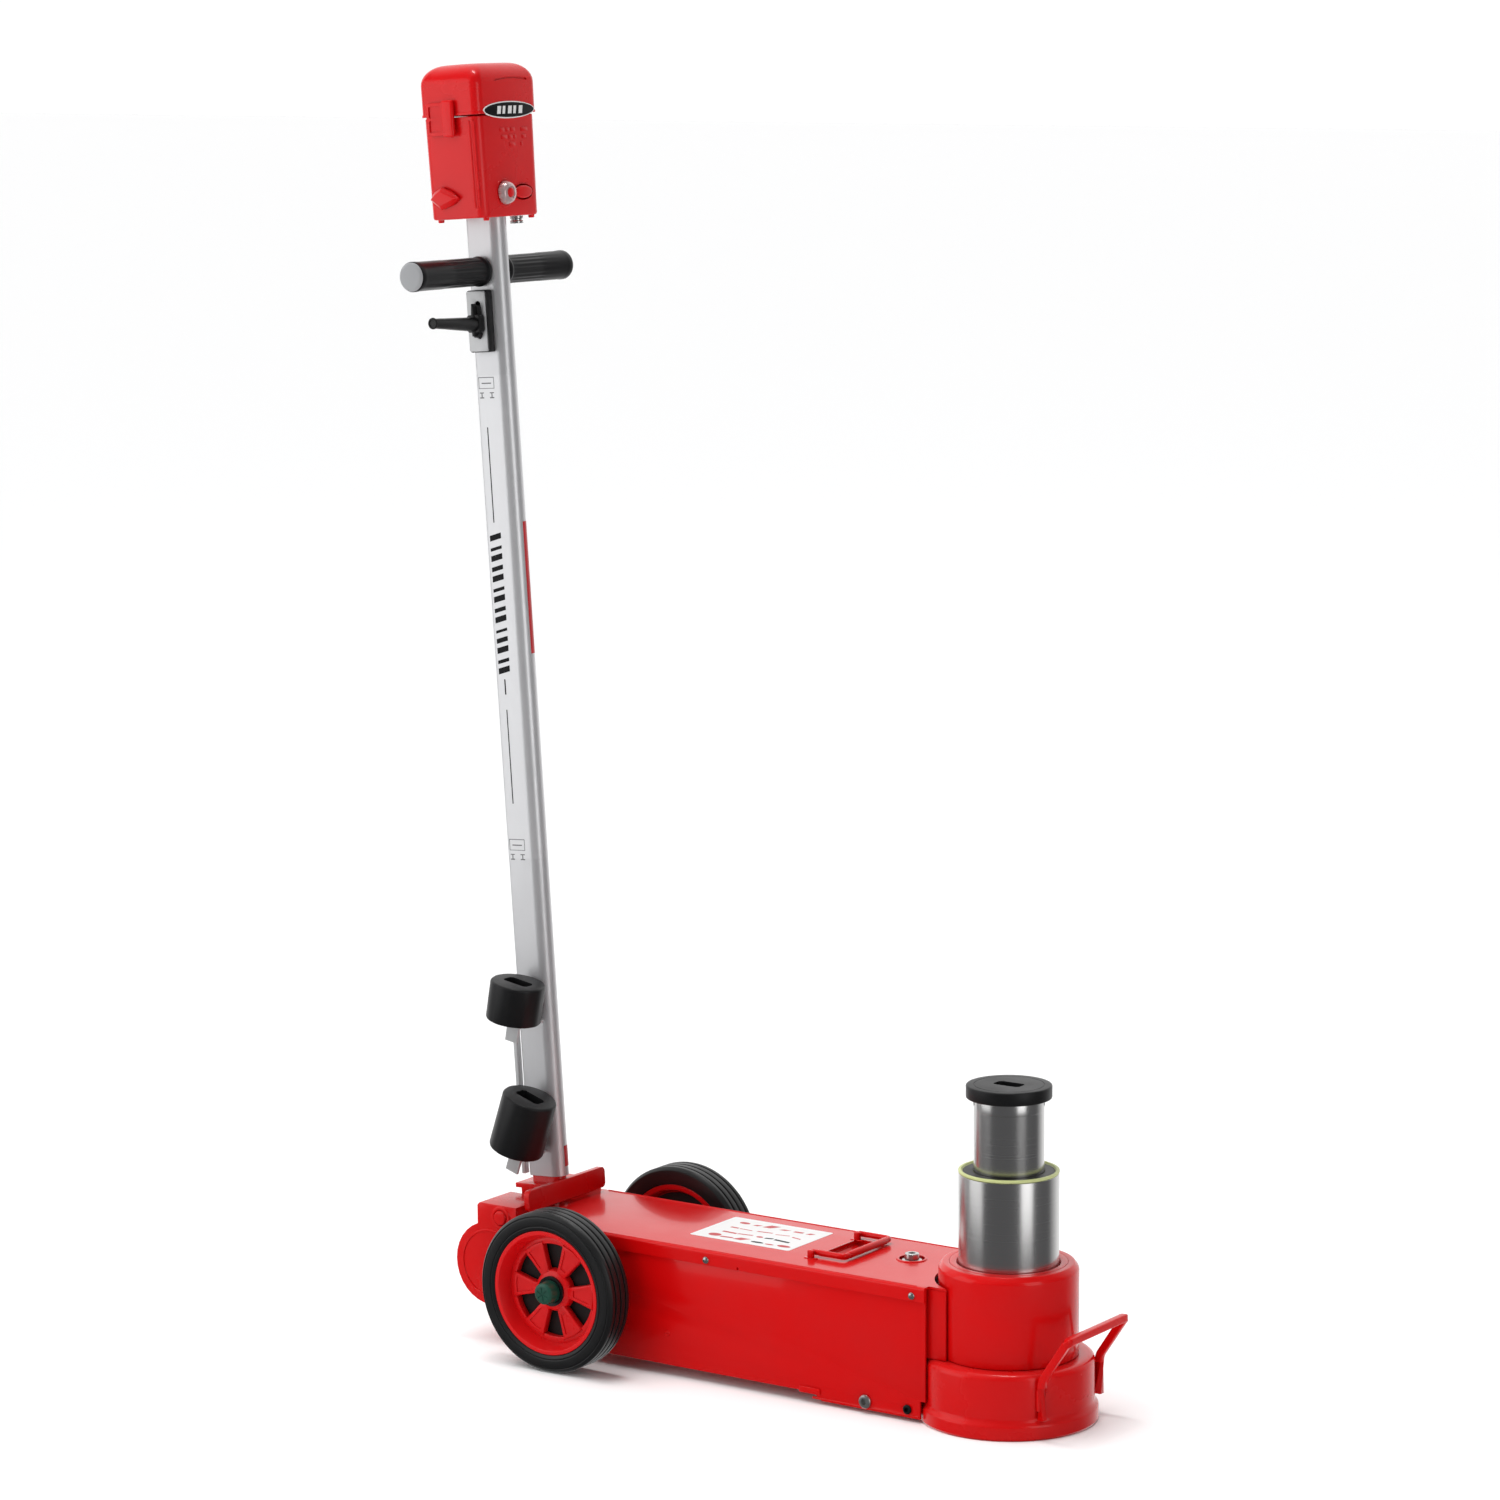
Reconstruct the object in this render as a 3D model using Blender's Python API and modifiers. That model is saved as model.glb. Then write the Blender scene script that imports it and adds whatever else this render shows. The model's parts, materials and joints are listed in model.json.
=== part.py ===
"""Air-hydraulic two-stage truck jack with a folding handle and carried spacers.

Metres, +Z up.  The origin is on the floor under the ram, +X points to the ram
end and the handle and wheels are at -X.
"""
import math

import bmesh
import bpy
from mathutils import Matrix, Vector

# ---------------------------------------------------------------- driving sizes
GAP = 0.0003                 # clearance between pieces that touch
RING_SIDES = 32              # sides of the large round pieces
PIN_SIDES = 16               # sides of the small round pieces

RAM_1_RADIUS = 0.050         # outer ram, 100 mm piston
RAM_2_RADIUS = 0.035         # inner ram, 70 mm piston
BORE_RADIUS = RAM_1_RADIUS + 0.0010
CYLINDER_RADIUS = 0.070
CYLINDER_TOP = 0.159
CYLINDER_FOOT_RADIUS = 0.064
TIER_RADIUS = 0.0860
TIER_TOP = 0.066
FLANGE_RADIUS = 0.0900
FLANGE_TOP = 0.015

RAM_1_BOTTOM = 0.1075        # rams stand partly raised at rest
RAM_1_TOP = 0.2492
RAM_1_FLOOR = 0.010
RING_TOP = 0.2525
RAM_2_LENGTH = 0.135
SADDLE_RADIUS = 0.0427
SADDLE_TOP = 0.338
SADDLE_THICKNESS = 0.0133
SADDLE_BOTTOM = SADDLE_TOP - SADDLE_THICKNESS
SOCKET_SIZE = (0.030, 0.016, 0.008)

HALF_WIDTH = 0.0755          # outer face of the top cover flanges
SHEET = 0.0025
PANEL_OUTER = HALF_WIDTH - SHEET - GAP
PANEL_THICKNESS = 0.0030
COVER_TOP = 0.140
COVER_SKIRT = 0.0152
CHASSIS_FRONT = -0.0520
CHASSIS_REAR = -0.5560
PANEL_BOTTOM = 0.0115
BLOCK_BOTTOM = 0.0040
BLOCK_REAR = -0.185
BLOCK_FRONT = -0.058
FLOOR_LEVEL = 0.0245
NECK_CLEARANCE = 0.0035

TRAY = (-0.2080, -0.1780, -0.0260, 0.0440)   # x and y limits of the carry handle pocket
CARRY_HINGE = (-0.2080, COVER_TOP + 0.0050)
CARRY_TAIL = 0.0030          # the legs end this far behind their pins
CARRY_LEGS = (-0.0345, 0.0510)
FILLER = (-0.1215, 0.0120)

REAR_CENTRE = (-0.591, 0.0855)   # x and z of the round rear end
REAR_RADIUS = 0.0445
CHEEK_TOP = 0.150
CHEEK_BACK = -0.607
CHEEK_FRONT = -0.5565
CHANNEL_HALF = 0.0215        # half width of the slot that the handle folds in

PIVOT_X = -0.576
PIVOT_Z = 0.137
PIN_RADIUS = 0.0060
LEAN_DEG = 3.75              # the locked handle leans back this much

AXLE_X = -0.4757
WHEEL_RADIUS = 0.0840
TYRE_WIDTH = 0.0360
WHEEL_FACE = 0.1340          # outer face of the tyre, from the middle plane
RIM_RADIUS = 0.0650
WEB_FACE = 0.1205
AXLE_RADIUS = 0.0100

TUBE_X = 0.01175             # middle of the handle tube, in the handle's frame
TUBE_DEPTH = 0.0415          # along X
TUBE_THICKNESS = 0.0240      # along Y
TUBE_WALL = 0.0022
TUBE_BOTTOM = 0.0320
TUBE_TOP = 1.0800
FLAT_FACE = TUBE_THICKNESS / 2

LOCK_X = 0.0085              # the lock rod runs inside the tube
LOCK_RADIUS = 0.0030
LOCK_TIP = 0.0185            # drawn just clear of its notch
SECTOR_RADIUS = 0.0175
LOCK_ANGLES = (0.0, 40.0, 80.0)

GRIP_X = 0.0080
GRIP_HEIGHT = 0.9840
GRIP_RADIUS = 0.0154
GRIP_END = 0.1300
GRIP_BAR_RADIUS = 0.0100

BOX_BOTTOM = 1.0388
BOX_SEAM = 1.1438
BOX_TOP = 1.1958
BUTTON = (0.0185, 1.0630, 0.0160, 0.0080)    # y and z of the middle, half width, half height

SPACER_RADIUS = 0.0290
SPACER_Y = -0.0455
SPACERS = {                  # world x and z of the middle, height, forward tilt
    "upper": (-0.5753, 0.3635, 0.042, 10.0),
    "lower": (-0.5680, 0.2335, 0.062, 18.5),
}

# ---------------------------------------------------------------- scene set-up
for old in list(bpy.data.objects):
    bpy.data.objects.remove(old, do_unlink=True)

PARTS = bpy.data.collections.new("truck_jack")
TOOLS = bpy.data.collections.new("cutters")
bpy.context.scene.collection.children.link(PARTS)
bpy.context.scene.collection.children.link(TOOLS)


def finish(name, colour, roughness, metallic):
    material = bpy.data.materials.new(name)
    material.use_nodes = True
    shader = material.node_tree.nodes["Principled BSDF"]
    shader.inputs["Base Color"].default_value = (*colour, 1.0)
    shader.inputs["Roughness"].default_value = roughness
    shader.inputs["Metallic"].default_value = metallic
    return material


RED = finish("red_paint", (0.68, 0.010, 0.010), 0.30, 0.0)
RED_PLASTIC = finish("red_plastic", (0.70, 0.012, 0.015), 0.28, 0.0)
ALUMINIUM = finish("satin_aluminium", (0.62, 0.62, 0.63), 0.38, 1.0)
STEEL = finish("ground_steel", (0.50, 0.50, 0.49), 0.25, 1.0)
BLACK_STEEL = finish("black_steel", (0.02, 0.02, 0.022), 0.45, 0.6)
RUBBER = finish("rubber", (0.012, 0.012, 0.013), 0.65, 0.0)
BLACK_PLASTIC = finish("black_plastic", (0.015, 0.015, 0.016), 0.40, 0.0)
GREY_PLASTIC = finish("grey_plastic", (0.33, 0.33, 0.34), 0.45, 0.0)
GREEN_PLASTIC = finish("green_plastic", (0.015, 0.08, 0.05), 0.35, 0.0)
RING_PLASTIC = finish("ring_plastic", (0.50, 0.52, 0.22), 0.45, 0.0)
CAST_IRON = finish("cast_iron", (0.10, 0.10, 0.10), 0.70, 0.8)
ZINC = finish("zinc", (0.70, 0.70, 0.68), 0.30, 1.0)


# ---------------------------------------------------------------- building tools
def place(name, mesh, material, frame=None, group=None):
    piece = bpy.data.objects.new(name, mesh)
    (group or PARTS).objects.link(piece)
    if material:
        mesh.materials.append(material)
    if frame:
        piece.parent = frame
    if group is TOOLS:
        piece.hide_render = True
        piece.display_type = "WIRE"
    return piece


def smooth(mesh, angle=32.0):
    mesh.shade_smooth()
    mesh.set_sharp_from_angle(angle=math.radians(angle))


def mesh_from(bm, name):
    mesh = bpy.data.meshes.new(name)
    bm.to_mesh(mesh)
    bm.free()
    smooth(mesh)
    return mesh


def bevel_edges(bm, edges, width, segments=2):
    bmesh.ops.bevel(bm, geom=list(edges), offset=width, segments=segments, profile=0.5,
                    affect="EDGES", material=-1, clamp_overlap=True)


def box(name, low, high, material, frame=None, group=None, bevel=0.0, along=None):
    """A block between two corners; along names the axis whose edges are rounded."""
    bm = bmesh.new()
    size = [high[i] - low[i] for i in range(3)]
    middle = [(high[i] + low[i]) / 2 for i in range(3)]
    matrix = Matrix.Translation(middle) @ Matrix.Diagonal((*size, 1.0))
    bmesh.ops.create_cube(bm, size=1.0, matrix=matrix)
    if bevel:
        edges = bm.edges[:]
        if along is not None:
            edges = [e for e in edges
                     if abs((e.verts[0].co - e.verts[1].co).normalized()[along]) > 0.9]
        bevel_edges(bm, edges, bevel)
    return place(name, mesh_from(bm, name), material, frame, group)


def rod(name, start, end, radius, material, frame=None, group=None, sides=PIN_SIDES, chamfer=0.0,
        end_radius=None):
    """A round bar, or a cone when the radii differ, from start to end."""
    start, end = Vector(start), Vector(end)
    axis = end - start
    turn = axis.to_track_quat("Z", "Y").to_matrix().to_4x4()
    bm = bmesh.new()
    bmesh.ops.create_cone(bm, cap_ends=True, segments=sides, radius1=radius,
                          radius2=radius if end_radius is None else end_radius, depth=axis.length,
                          matrix=Matrix.Translation((start + end) / 2) @ turn)
    if chamfer:
        unit = axis.normalized()
        rims = [e for e in bm.edges if abs((e.verts[0].co - e.verts[1].co).dot(unit)) < 1e-6]
        bevel_edges(bm, rims, chamfer, 1)
    return place(name, mesh_from(bm, name), material, frame, group)


AXIS_TURN = {"X": (0.0, math.pi / 2, 0.0), "Y": (math.pi / 2, 0.0, 0.0), "Z": (0.0, 0.0, 0.0)}


def turned(name, profile, centre, material, axis="Z", frame=None, group=None, sides=RING_SIDES,
           closed=True):
    """A turned piece: (radius, height) points run down the outside, and up the bore."""
    mesh = bpy.data.meshes.new(name)
    count = len(profile)
    edges = [(i, i + 1) for i in range(count - 1)]
    if closed:
        edges.append((count - 1, 0))
    mesh.from_pydata([(r, 0.0, h) for r, h in profile], edges, [])
    piece = place(name, mesh, material, frame, group)
    piece.location = centre
    piece.rotation_euler = AXIS_TURN[axis]
    spin = piece.modifiers.new("turn", "SCREW")
    spin.axis = "Z"
    spin.angle = math.tau
    spin.steps = sides
    spin.render_steps = sides
    spin.use_merge_vertices = True
    spin.merge_threshold = 0.00001
    spin.use_smooth_shade = True
    return piece


def outline_mesh(name, loops, thickness):
    """A flat plate of the outline loops (the first outside, the rest holes), centred on z."""
    curve = bpy.data.curves.new(name, "CURVE")
    curve.dimensions = "2D"
    curve.fill_mode = "BOTH"
    curve.extrude = thickness / 2
    for loop in loops:
        spline = curve.splines.new("POLY")
        spline.points.add(len(loop) - 1)
        for point, (u, v) in zip(spline.points, loop):
            point.co = (u, v, 0.0, 1.0)
        spline.use_cyclic_u = True
    guide = bpy.data.objects.new(name, curve)
    TOOLS.objects.link(guide)
    bpy.context.view_layer.update()
    solid = guide.evaluated_get(bpy.context.evaluated_depsgraph_get())
    mesh = bpy.data.meshes.new_from_object(solid)
    bpy.data.objects.remove(guide, do_unlink=True)
    bm = bmesh.new()
    bm.from_mesh(mesh)
    bmesh.ops.remove_doubles(bm, verts=bm.verts, dist=0.000005)
    bmesh.ops.recalc_face_normals(bm, faces=bm.faces)
    bm.to_mesh(mesh)
    bm.free()
    smooth(mesh)
    return mesh


PLANES = {"XY": (0.0, 0.0, 0.0), "XZ": (math.pi / 2, 0.0, 0.0), "YZ": (math.pi / 2, 0.0, math.pi / 2)}


def plate(name, loops, plane, level, thickness, material, frame=None, group=None):
    """An outline plate in a plane; level is the middle of its thickness."""
    piece = place(name, outline_mesh(name, loops, thickness), material, frame, group)
    piece.rotation_euler = PLANES[plane]
    piece.location = {"XY": (0, 0, level), "XZ": (0, level, 0), "YZ": (level, 0, 0)}[plane]
    return piece


def wire(name, points, radius, material, frame=None, sides=10):
    """A bent round bar through the points, with its ends closed."""
    curve = bpy.data.curves.new(name, "CURVE")
    curve.dimensions = "3D"
    curve.bevel_depth = radius
    curve.bevel_resolution = sides // 2 - 2
    curve.use_fill_caps = True
    spline = curve.splines.new("POLY")
    spline.points.add(len(points) - 1)
    for point, place_at in zip(spline.points, points):
        point.co = (*place_at, 1.0)
    piece = bpy.data.objects.new(name, curve)
    PARTS.objects.link(piece)
    curve.materials.append(material)
    if frame:
        piece.parent = frame
    return piece


def meshed(piece):
    """The piece with its modifiers applied, as a mesh that takes Booleans."""
    bpy.context.view_layer.update()
    solid = piece.evaluated_get(bpy.context.evaluated_depsgraph_get())
    mesh = bpy.data.meshes.new_from_object(solid)
    bm = bmesh.new()
    bm.from_mesh(mesh)
    bmesh.ops.remove_doubles(bm, verts=bm.verts, dist=0.000005)
    bm.to_mesh(mesh)
    bm.free()
    smooth(mesh)
    name, parent = piece.name, piece.parent
    place_at, turn = piece.location.copy(), piece.rotation_euler.copy()
    group = TOOLS if piece.name in TOOLS.objects else PARTS
    bpy.data.objects.remove(piece, do_unlink=True)
    fresh = place(name, mesh, None, parent, group)
    fresh.location = place_at
    fresh.rotation_euler = turn
    return fresh


def boolean(target, tool, operation):
    change = target.modifiers.new(operation.lower() + "_" + tool.name, "BOOLEAN")
    change.operation = operation
    change.object = tool
    change.solver = "EXACT"


def cut(target, *tools):
    for tool in tools:
        boolean(target, tool, "DIFFERENCE")


def weld(target, *tools):
    for tool in tools:
        boolean(target, tool, "UNION")


def arc(centre, radius, start, end, steps):
    """Points of an arc from the start angle to the end angle, in degrees."""
    angles = [math.radians(start + (end - start) * i / steps) for i in range(steps + 1)]
    return [(centre[0] + radius * math.cos(a), centre[1] + radius * math.sin(a)) for a in angles]


def rounded(low, high, radius, steps=4):
    """A rectangle outline with round corners, anticlockwise."""
    (x0, y0), (x1, y1) = low, high
    corners = [((x1 - radius, y1 - radius), 0), ((x0 + radius, y1 - radius), 90),
               ((x0 + radius, y0 + radius), 180), ((x1 - radius, y0 + radius), 270)]
    points = []
    for centre, start in corners:
        points += arc(centre, radius, start, start + 90, steps)
    return points


def circle(centre, radius, sides):
    return arc(centre, radius, 0, 360 * (sides - 1) / sides, sides - 1)


# ---------------------------------------------------------------- base and rams
def build_base():
    profile = [(CYLINDER_FOOT_RADIUS + GAP, TIER_TOP), (TIER_RADIUS - 0.007, TIER_TOP),
               (TIER_RADIUS - 0.002, TIER_TOP - 0.002), (TIER_RADIUS, TIER_TOP - 0.007),
               (TIER_RADIUS, FLANGE_TOP + 0.0015), (FLANGE_RADIUS, FLANGE_TOP),
               (FLANGE_RADIUS, 0.002), (FLANGE_RADIUS - 0.002, 0.0), (0.0, 0.0),
               (0.0, 0.010), (CYLINDER_FOOT_RADIUS + GAP, 0.010)]
    base = meshed(turned("base_casting", profile, (0, 0, 0), RED))
    block = box("base_block", (BLOCK_REAR, -0.0695, BLOCK_BOTTOM), (-0.070, 0.0695, FLOOR_LEVEL - GAP),
                None, group=TOOLS, bevel=0.004, along=2)
    weld(base, block)
    return base


def build_cylinder():
    floor = 0.0165
    profile = [(CYLINDER_RADIUS - 0.0045, CYLINDER_TOP), (CYLINDER_RADIUS, CYLINDER_TOP - 0.0055),
               (CYLINDER_RADIUS, TIER_TOP + GAP), (CYLINDER_FOOT_RADIUS, TIER_TOP + GAP),
               (CYLINDER_FOOT_RADIUS, 0.010 + GAP), (0.0, 0.010 + GAP), (0.0, floor),
               (BORE_RADIUS + 0.0005, floor), (BORE_RADIUS + 0.0005, CYLINDER_TOP - 0.012),
               (0.0590, CYLINDER_TOP - 0.012), (0.0590, CYLINDER_TOP)]
    turned("cylinder", profile, (0, 0, 0), RED)
    ring = [(0.0578, CYLINDER_TOP), (0.0587, CYLINDER_TOP - 0.001), (0.0587, CYLINDER_TOP - 0.0117),
            (RAM_1_RADIUS + GAP, CYLINDER_TOP - 0.0117), (RAM_1_RADIUS + GAP, CYLINDER_TOP - 0.004),
            (RAM_1_RADIUS + 0.0020, CYLINDER_TOP)]
    turned("gland_ring", ring, (0, 0, 0), RED)


def build_rams():
    ram_1 = [(RAM_1_RADIUS, RAM_1_TOP), (RAM_1_RADIUS, RAM_1_BOTTOM + 0.012),
             (RAM_1_RADIUS - 0.0025, RAM_1_BOTTOM + 0.012), (RAM_1_RADIUS - 0.0025, RAM_1_BOTTOM + 0.005),
             (RAM_1_RADIUS, RAM_1_BOTTOM + 0.005), (RAM_1_RADIUS, RAM_1_BOTTOM),
             (0.0, RAM_1_BOTTOM), (0.0, RAM_1_BOTTOM + RAM_1_FLOOR),
             (RAM_2_RADIUS + 0.0015, RAM_1_BOTTOM + RAM_1_FLOOR), (RAM_2_RADIUS + 0.0015, RAM_1_TOP)]
    turned("ram_outer", ram_1, (0, 0, 0), STEEL)
    seal = RAM_1_BOTTOM + 0.005 + GAP
    profile = [(RAM_1_RADIUS + 0.0010, seal + 0.0064), (RAM_1_RADIUS + 0.0010, seal),
               (RAM_1_RADIUS - 0.0025 + GAP, seal), (RAM_1_RADIUS - 0.0025 + GAP, seal + 0.0064)]
    turned("piston_seal", profile, (0, 0, 0), RUBBER)
    ring = [(RAM_1_RADIUS - 0.0008, RING_TOP), (RAM_1_RADIUS, RING_TOP - 0.0010),
            (RAM_1_RADIUS, RAM_1_TOP + GAP), (RAM_2_RADIUS + GAP, RAM_1_TOP + GAP),
            (RAM_2_RADIUS + GAP, RING_TOP - 0.0012), (RAM_2_RADIUS + 0.0016, RING_TOP)]
    turned("wiper_ring", ring, (0, 0, 0), RING_PLASTIC)

    top = SADDLE_BOTTOM - GAP
    bottom = SADDLE_BOTTOM - RAM_2_LENGTH
    spigot = 0.012
    ram_2 = [(RAM_2_RADIUS - 0.001, top), (RAM_2_RADIUS, top - 0.001), (RAM_2_RADIUS, bottom + 0.001),
             (RAM_2_RADIUS - 0.001, bottom), (0.0, bottom), (0.0, top - 0.022),
             (spigot + GAP, top - 0.022), (spigot + GAP, top)]
    turned("ram_inner", ram_2, (0, 0, 0), STEEL)
    head = [(0.0, SADDLE_TOP), (SADDLE_RADIUS - 0.0018, SADDLE_TOP), (SADDLE_RADIUS, SADDLE_TOP - 0.0018),
            (SADDLE_RADIUS, SADDLE_BOTTOM + 0.002), (SADDLE_RADIUS - 0.003, SADDLE_BOTTOM),
            (spigot, SADDLE_BOTTOM), (spigot, SADDLE_BOTTOM - 0.020), (0.0, SADDLE_BOTTOM - 0.020)]
    saddle = meshed(turned("saddle", head, (0, 0, 0), BLACK_STEEL, closed=False))
    length, width, depth = SOCKET_SIZE
    cut(saddle, box("saddle_socket", (-length / 2, -width / 2, SADDLE_TOP - depth),
                    (length / 2, width / 2, SADDLE_TOP + 0.01), None, group=TOOLS))


def build_front_bail():
    """A bent bar handle welded to the front of the base."""
    leg, top_x, top_z = 0.0550, 0.1012, 0.1038
    foot_x = math.sqrt((TIER_RADIUS + 0.0047) ** 2 - leg ** 2)
    half = [(foot_x, leg, 0.0215), (foot_x, leg, 0.0560), (foot_x + 0.0025, leg, 0.0620),
            (top_x - 0.0030, leg, top_z - 0.0060), (top_x, leg - 0.0010, top_z - 0.0014),
            (top_x + 0.0010, leg - 0.0050, top_z)]
    points = [(x, -y, z) for x, y, z in half] + [(x, y, z) for x, y, z in reversed(half)]
    wire("front_bail", points, 0.0044, RED)


# ---------------------------------------------------------------- chassis
def build_side_panels():
    edge = [(CHASSIS_FRONT, 0.0226), (CHASSIS_FRONT, COVER_TOP - SHEET - GAP),
            (CHASSIS_REAR, COVER_TOP - SHEET - GAP), (CHASSIS_REAR, 0.041),
            (-0.535, PANEL_BOTTOM + 0.006), (-0.520, PANEL_BOTTOM), (BLOCK_REAR, PANEL_BOTTOM),
            (BLOCK_REAR + 0.010, BLOCK_BOTTOM), (BLOCK_FRONT, BLOCK_BOTTOM), (BLOCK_FRONT, 0.0226)]
    axle_hole = circle((AXLE_X, WHEEL_RADIUS), AXLE_RADIUS + GAP, PIN_SIDES)
    plug_hole = circle((-0.1225, 0.0125), 0.0053, 12)
    screw_hole = circle((-0.0727, 0.0125), 0.0038, 12)
    middle = PANEL_OUTER - PANEL_THICKNESS / 2
    for side, sign in (("near", -1), ("far", 1)):
        holes = [axle_hole, plug_hole, screw_hole] if sign < 0 else [axle_hole]
        plate("side_panel_" + side, [edge] + holes, "XZ", sign * middle, PANEL_THICKNESS, RED)
    inner = PANEL_OUTER - PANEL_THICKNESS - GAP
    box("floor_plate", (-0.555, -inner, FLOOR_LEVEL), (-0.0905, inner, FLOOR_LEVEL + 0.003), RED)


def build_cover():
    """The folded top cover, cut round the cylinder, the tray and the filler."""
    front = -0.0300
    cover = box("top_cover", (CHASSIS_REAR, -HALF_WIDTH, COVER_TOP - COVER_SKIRT),
                (front, HALF_WIDTH, COVER_TOP), RED, bevel=0.0022, along=0)
    inner = HALF_WIDTH - SHEET
    cut(cover,
        box("cover_hollow", (CHASSIS_REAR - 0.01, -inner, 0.10), (front + 0.01, inner, COVER_TOP - SHEET),
            None, group=TOOLS),
        rod("cover_arc", (0, 0, 0.10), (0, 0, 0.16), CYLINDER_RADIUS + NECK_CLEARANCE, None, group=TOOLS,
            sides=RING_SIDES))
    for side, sign in (("near", -1), ("far", 1)):
        low, high = sorted((sign * 0.0665, sign * 0.10))
        cut(cover, box("cover_corner_" + side, (-0.0515, low, 0.10), (0.0, high, 0.16), None, group=TOOLS))
    cut(cover,
        box("tray_window", (TRAY[0], TRAY[2], 0.10), (TRAY[1], TRAY[3], 0.16), None, group=TOOLS),
        rod("filler_window", (FILLER[0], FILLER[1], 0.10), (FILLER[0], FILLER[1], 0.16), 0.0130, None,
            group=TOOLS, sides=24))
    for side, sign in (("near", -1), ("far", 1)):
        for end, x in (("rear", -0.3139), ("front", -0.0660)):
            inside = sign * (PANEL_OUTER - PANEL_THICKNESS)
            cut(cover, rod("hole_%s_%s" % (side, end), (x, inside, 0.1300), (x, sign * 0.09, 0.1300),
                           0.0021, None, group=TOOLS, sides=12))
            if sign < 0:
                head = [(0.0, 0.0022), (0.0022, 0.0020), (0.0038, 0.0006), (0.0038, 0.0),
                        (0.0018, 0.0), (0.0018, -0.0020), (0.0, -0.0020)]
                turned("cover_screw_" + end, head, (x, sign * (HALF_WIDTH + GAP), 0.1300), ZINC,
                       axis="Y", sides=12, closed=False)
    return cover


def build_neck():
    """Plates that close the sides between the chassis and the cylinder."""
    for side, sign in (("near", -1), ("far", 1)):
        low, high = sorted((sign * 0.0630, sign * 0.0660))
        reach = -math.sqrt((CYLINDER_RADIUS + GAP) ** 2 - 0.0630 ** 2)
        box("neck_plate_" + side, (-0.0755, low, TIER_TOP + GAP),
            (reach - 0.0012, high, COVER_TOP - SHEET - GAP), RED)


def build_cheeks():
    """The two rear castings that carry the handle pivot, hollow towards the channel."""
    cx, cz = REAR_CENTRE
    outside = [(CHEEK_FRONT, 0.041), (CHEEK_FRONT, CHEEK_TOP), (CHEEK_BACK + 0.003, CHEEK_TOP),
               (CHEEK_BACK, CHEEK_TOP - 0.003), (CHEEK_BACK, 0.1270)]
    outside += arc(REAR_CENTRE, REAR_RADIUS, 111, 270, 14)
    wall = 0.004
    inside = [(CHEEK_FRONT - wall, 0.041 + wall), (CHEEK_FRONT - wall, 0.118)]
    inside += [(cx, 0.118)] + arc(REAR_CENTRE, REAR_RADIUS - wall, 128, 270, 10)
    depth = PANEL_OUTER + SHEET - CHANNEL_HALF
    for side, sign in (("near", -1), ("far", 1)):
        middle = sign * (CHANNEL_HALF + depth / 2)
        cheek = plate("rear_cheek_" + side, [outside], "XZ", middle, depth, RED)
        cut(cheek,
            plate("cheek_pocket_" + side, [inside], "XZ", middle - sign * wall, depth, None, group=TOOLS),
            rod("cheek_bore_" + side, (PIVOT_X, 0, PIVOT_Z), (PIVOT_X, sign * 0.1, PIVOT_Z),
                PIN_RADIUS + GAP, None, group=TOOLS))


def build_tray(cover):
    """The pressed pocket under the folding carry handle, with a sloping floor."""
    x0, x1, y0, y1 = TRAY
    top = COVER_TOP - SHEET - GAP
    tray = box("handle_tray", (x0 - 0.004, y0 - 0.004, top - 0.016), (x1 + 0.004, y1 + 0.004, top), RED)
    wedge = [(x0, top + 0.004), (x0, top - 0.002), (x1, top - 0.0135), (x1, top + 0.004)]
    cut(tray, plate("tray_slope", [wedge], "XZ", (y0 + y1) / 2, y1 - y0, None, group=TOOLS))
    hinge_x = CARRY_HINGE[0]
    level = CARRY_HINGE[1]
    for side, y in (("near", CARRY_LEGS[0]), ("far", CARRY_LEGS[1])):
        lug = box("carry_lug_" + side, (hinge_x - 0.004, y - 0.0100, COVER_TOP - 0.001),
                  (hinge_x + 0.004, y - 0.0046, level + 0.0038), None, group=TOOLS, bevel=0.0012, along=1)
        bar = rod("carry_pin_" + side, (hinge_x, y - 0.0080, level), (hinge_x, y + 0.0040, level), 0.0017,
                  None, group=TOOLS, sides=12)
        weld(cover, lug, bar)
    front = 0.0355
    y0, y1 = CARRY_LEGS
    outline = [(-CARRY_TAIL, y0), (front - 0.005, y0), (front - 0.0015, y0 + 0.0015), (front, y0 + 0.005),
               (front, y1 - 0.005), (front - 0.0015, y1 - 0.0015), (front - 0.005, y1), (-CARRY_TAIL, y1)]
    points = [(hinge_x + x, y, level) for x, y in outline]
    bail = meshed(wire("carry_handle", points, 0.0036, RED, sides=8))
    for side, y in (("near", CARRY_LEGS[0]), ("far", CARRY_LEGS[1])):
        cut(bail, rod("carry_bore_" + side, (hinge_x, y - 0.0100, level), (hinge_x, y + 0.0100, level),
                      0.0020, None, group=TOOLS, sides=12))


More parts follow.
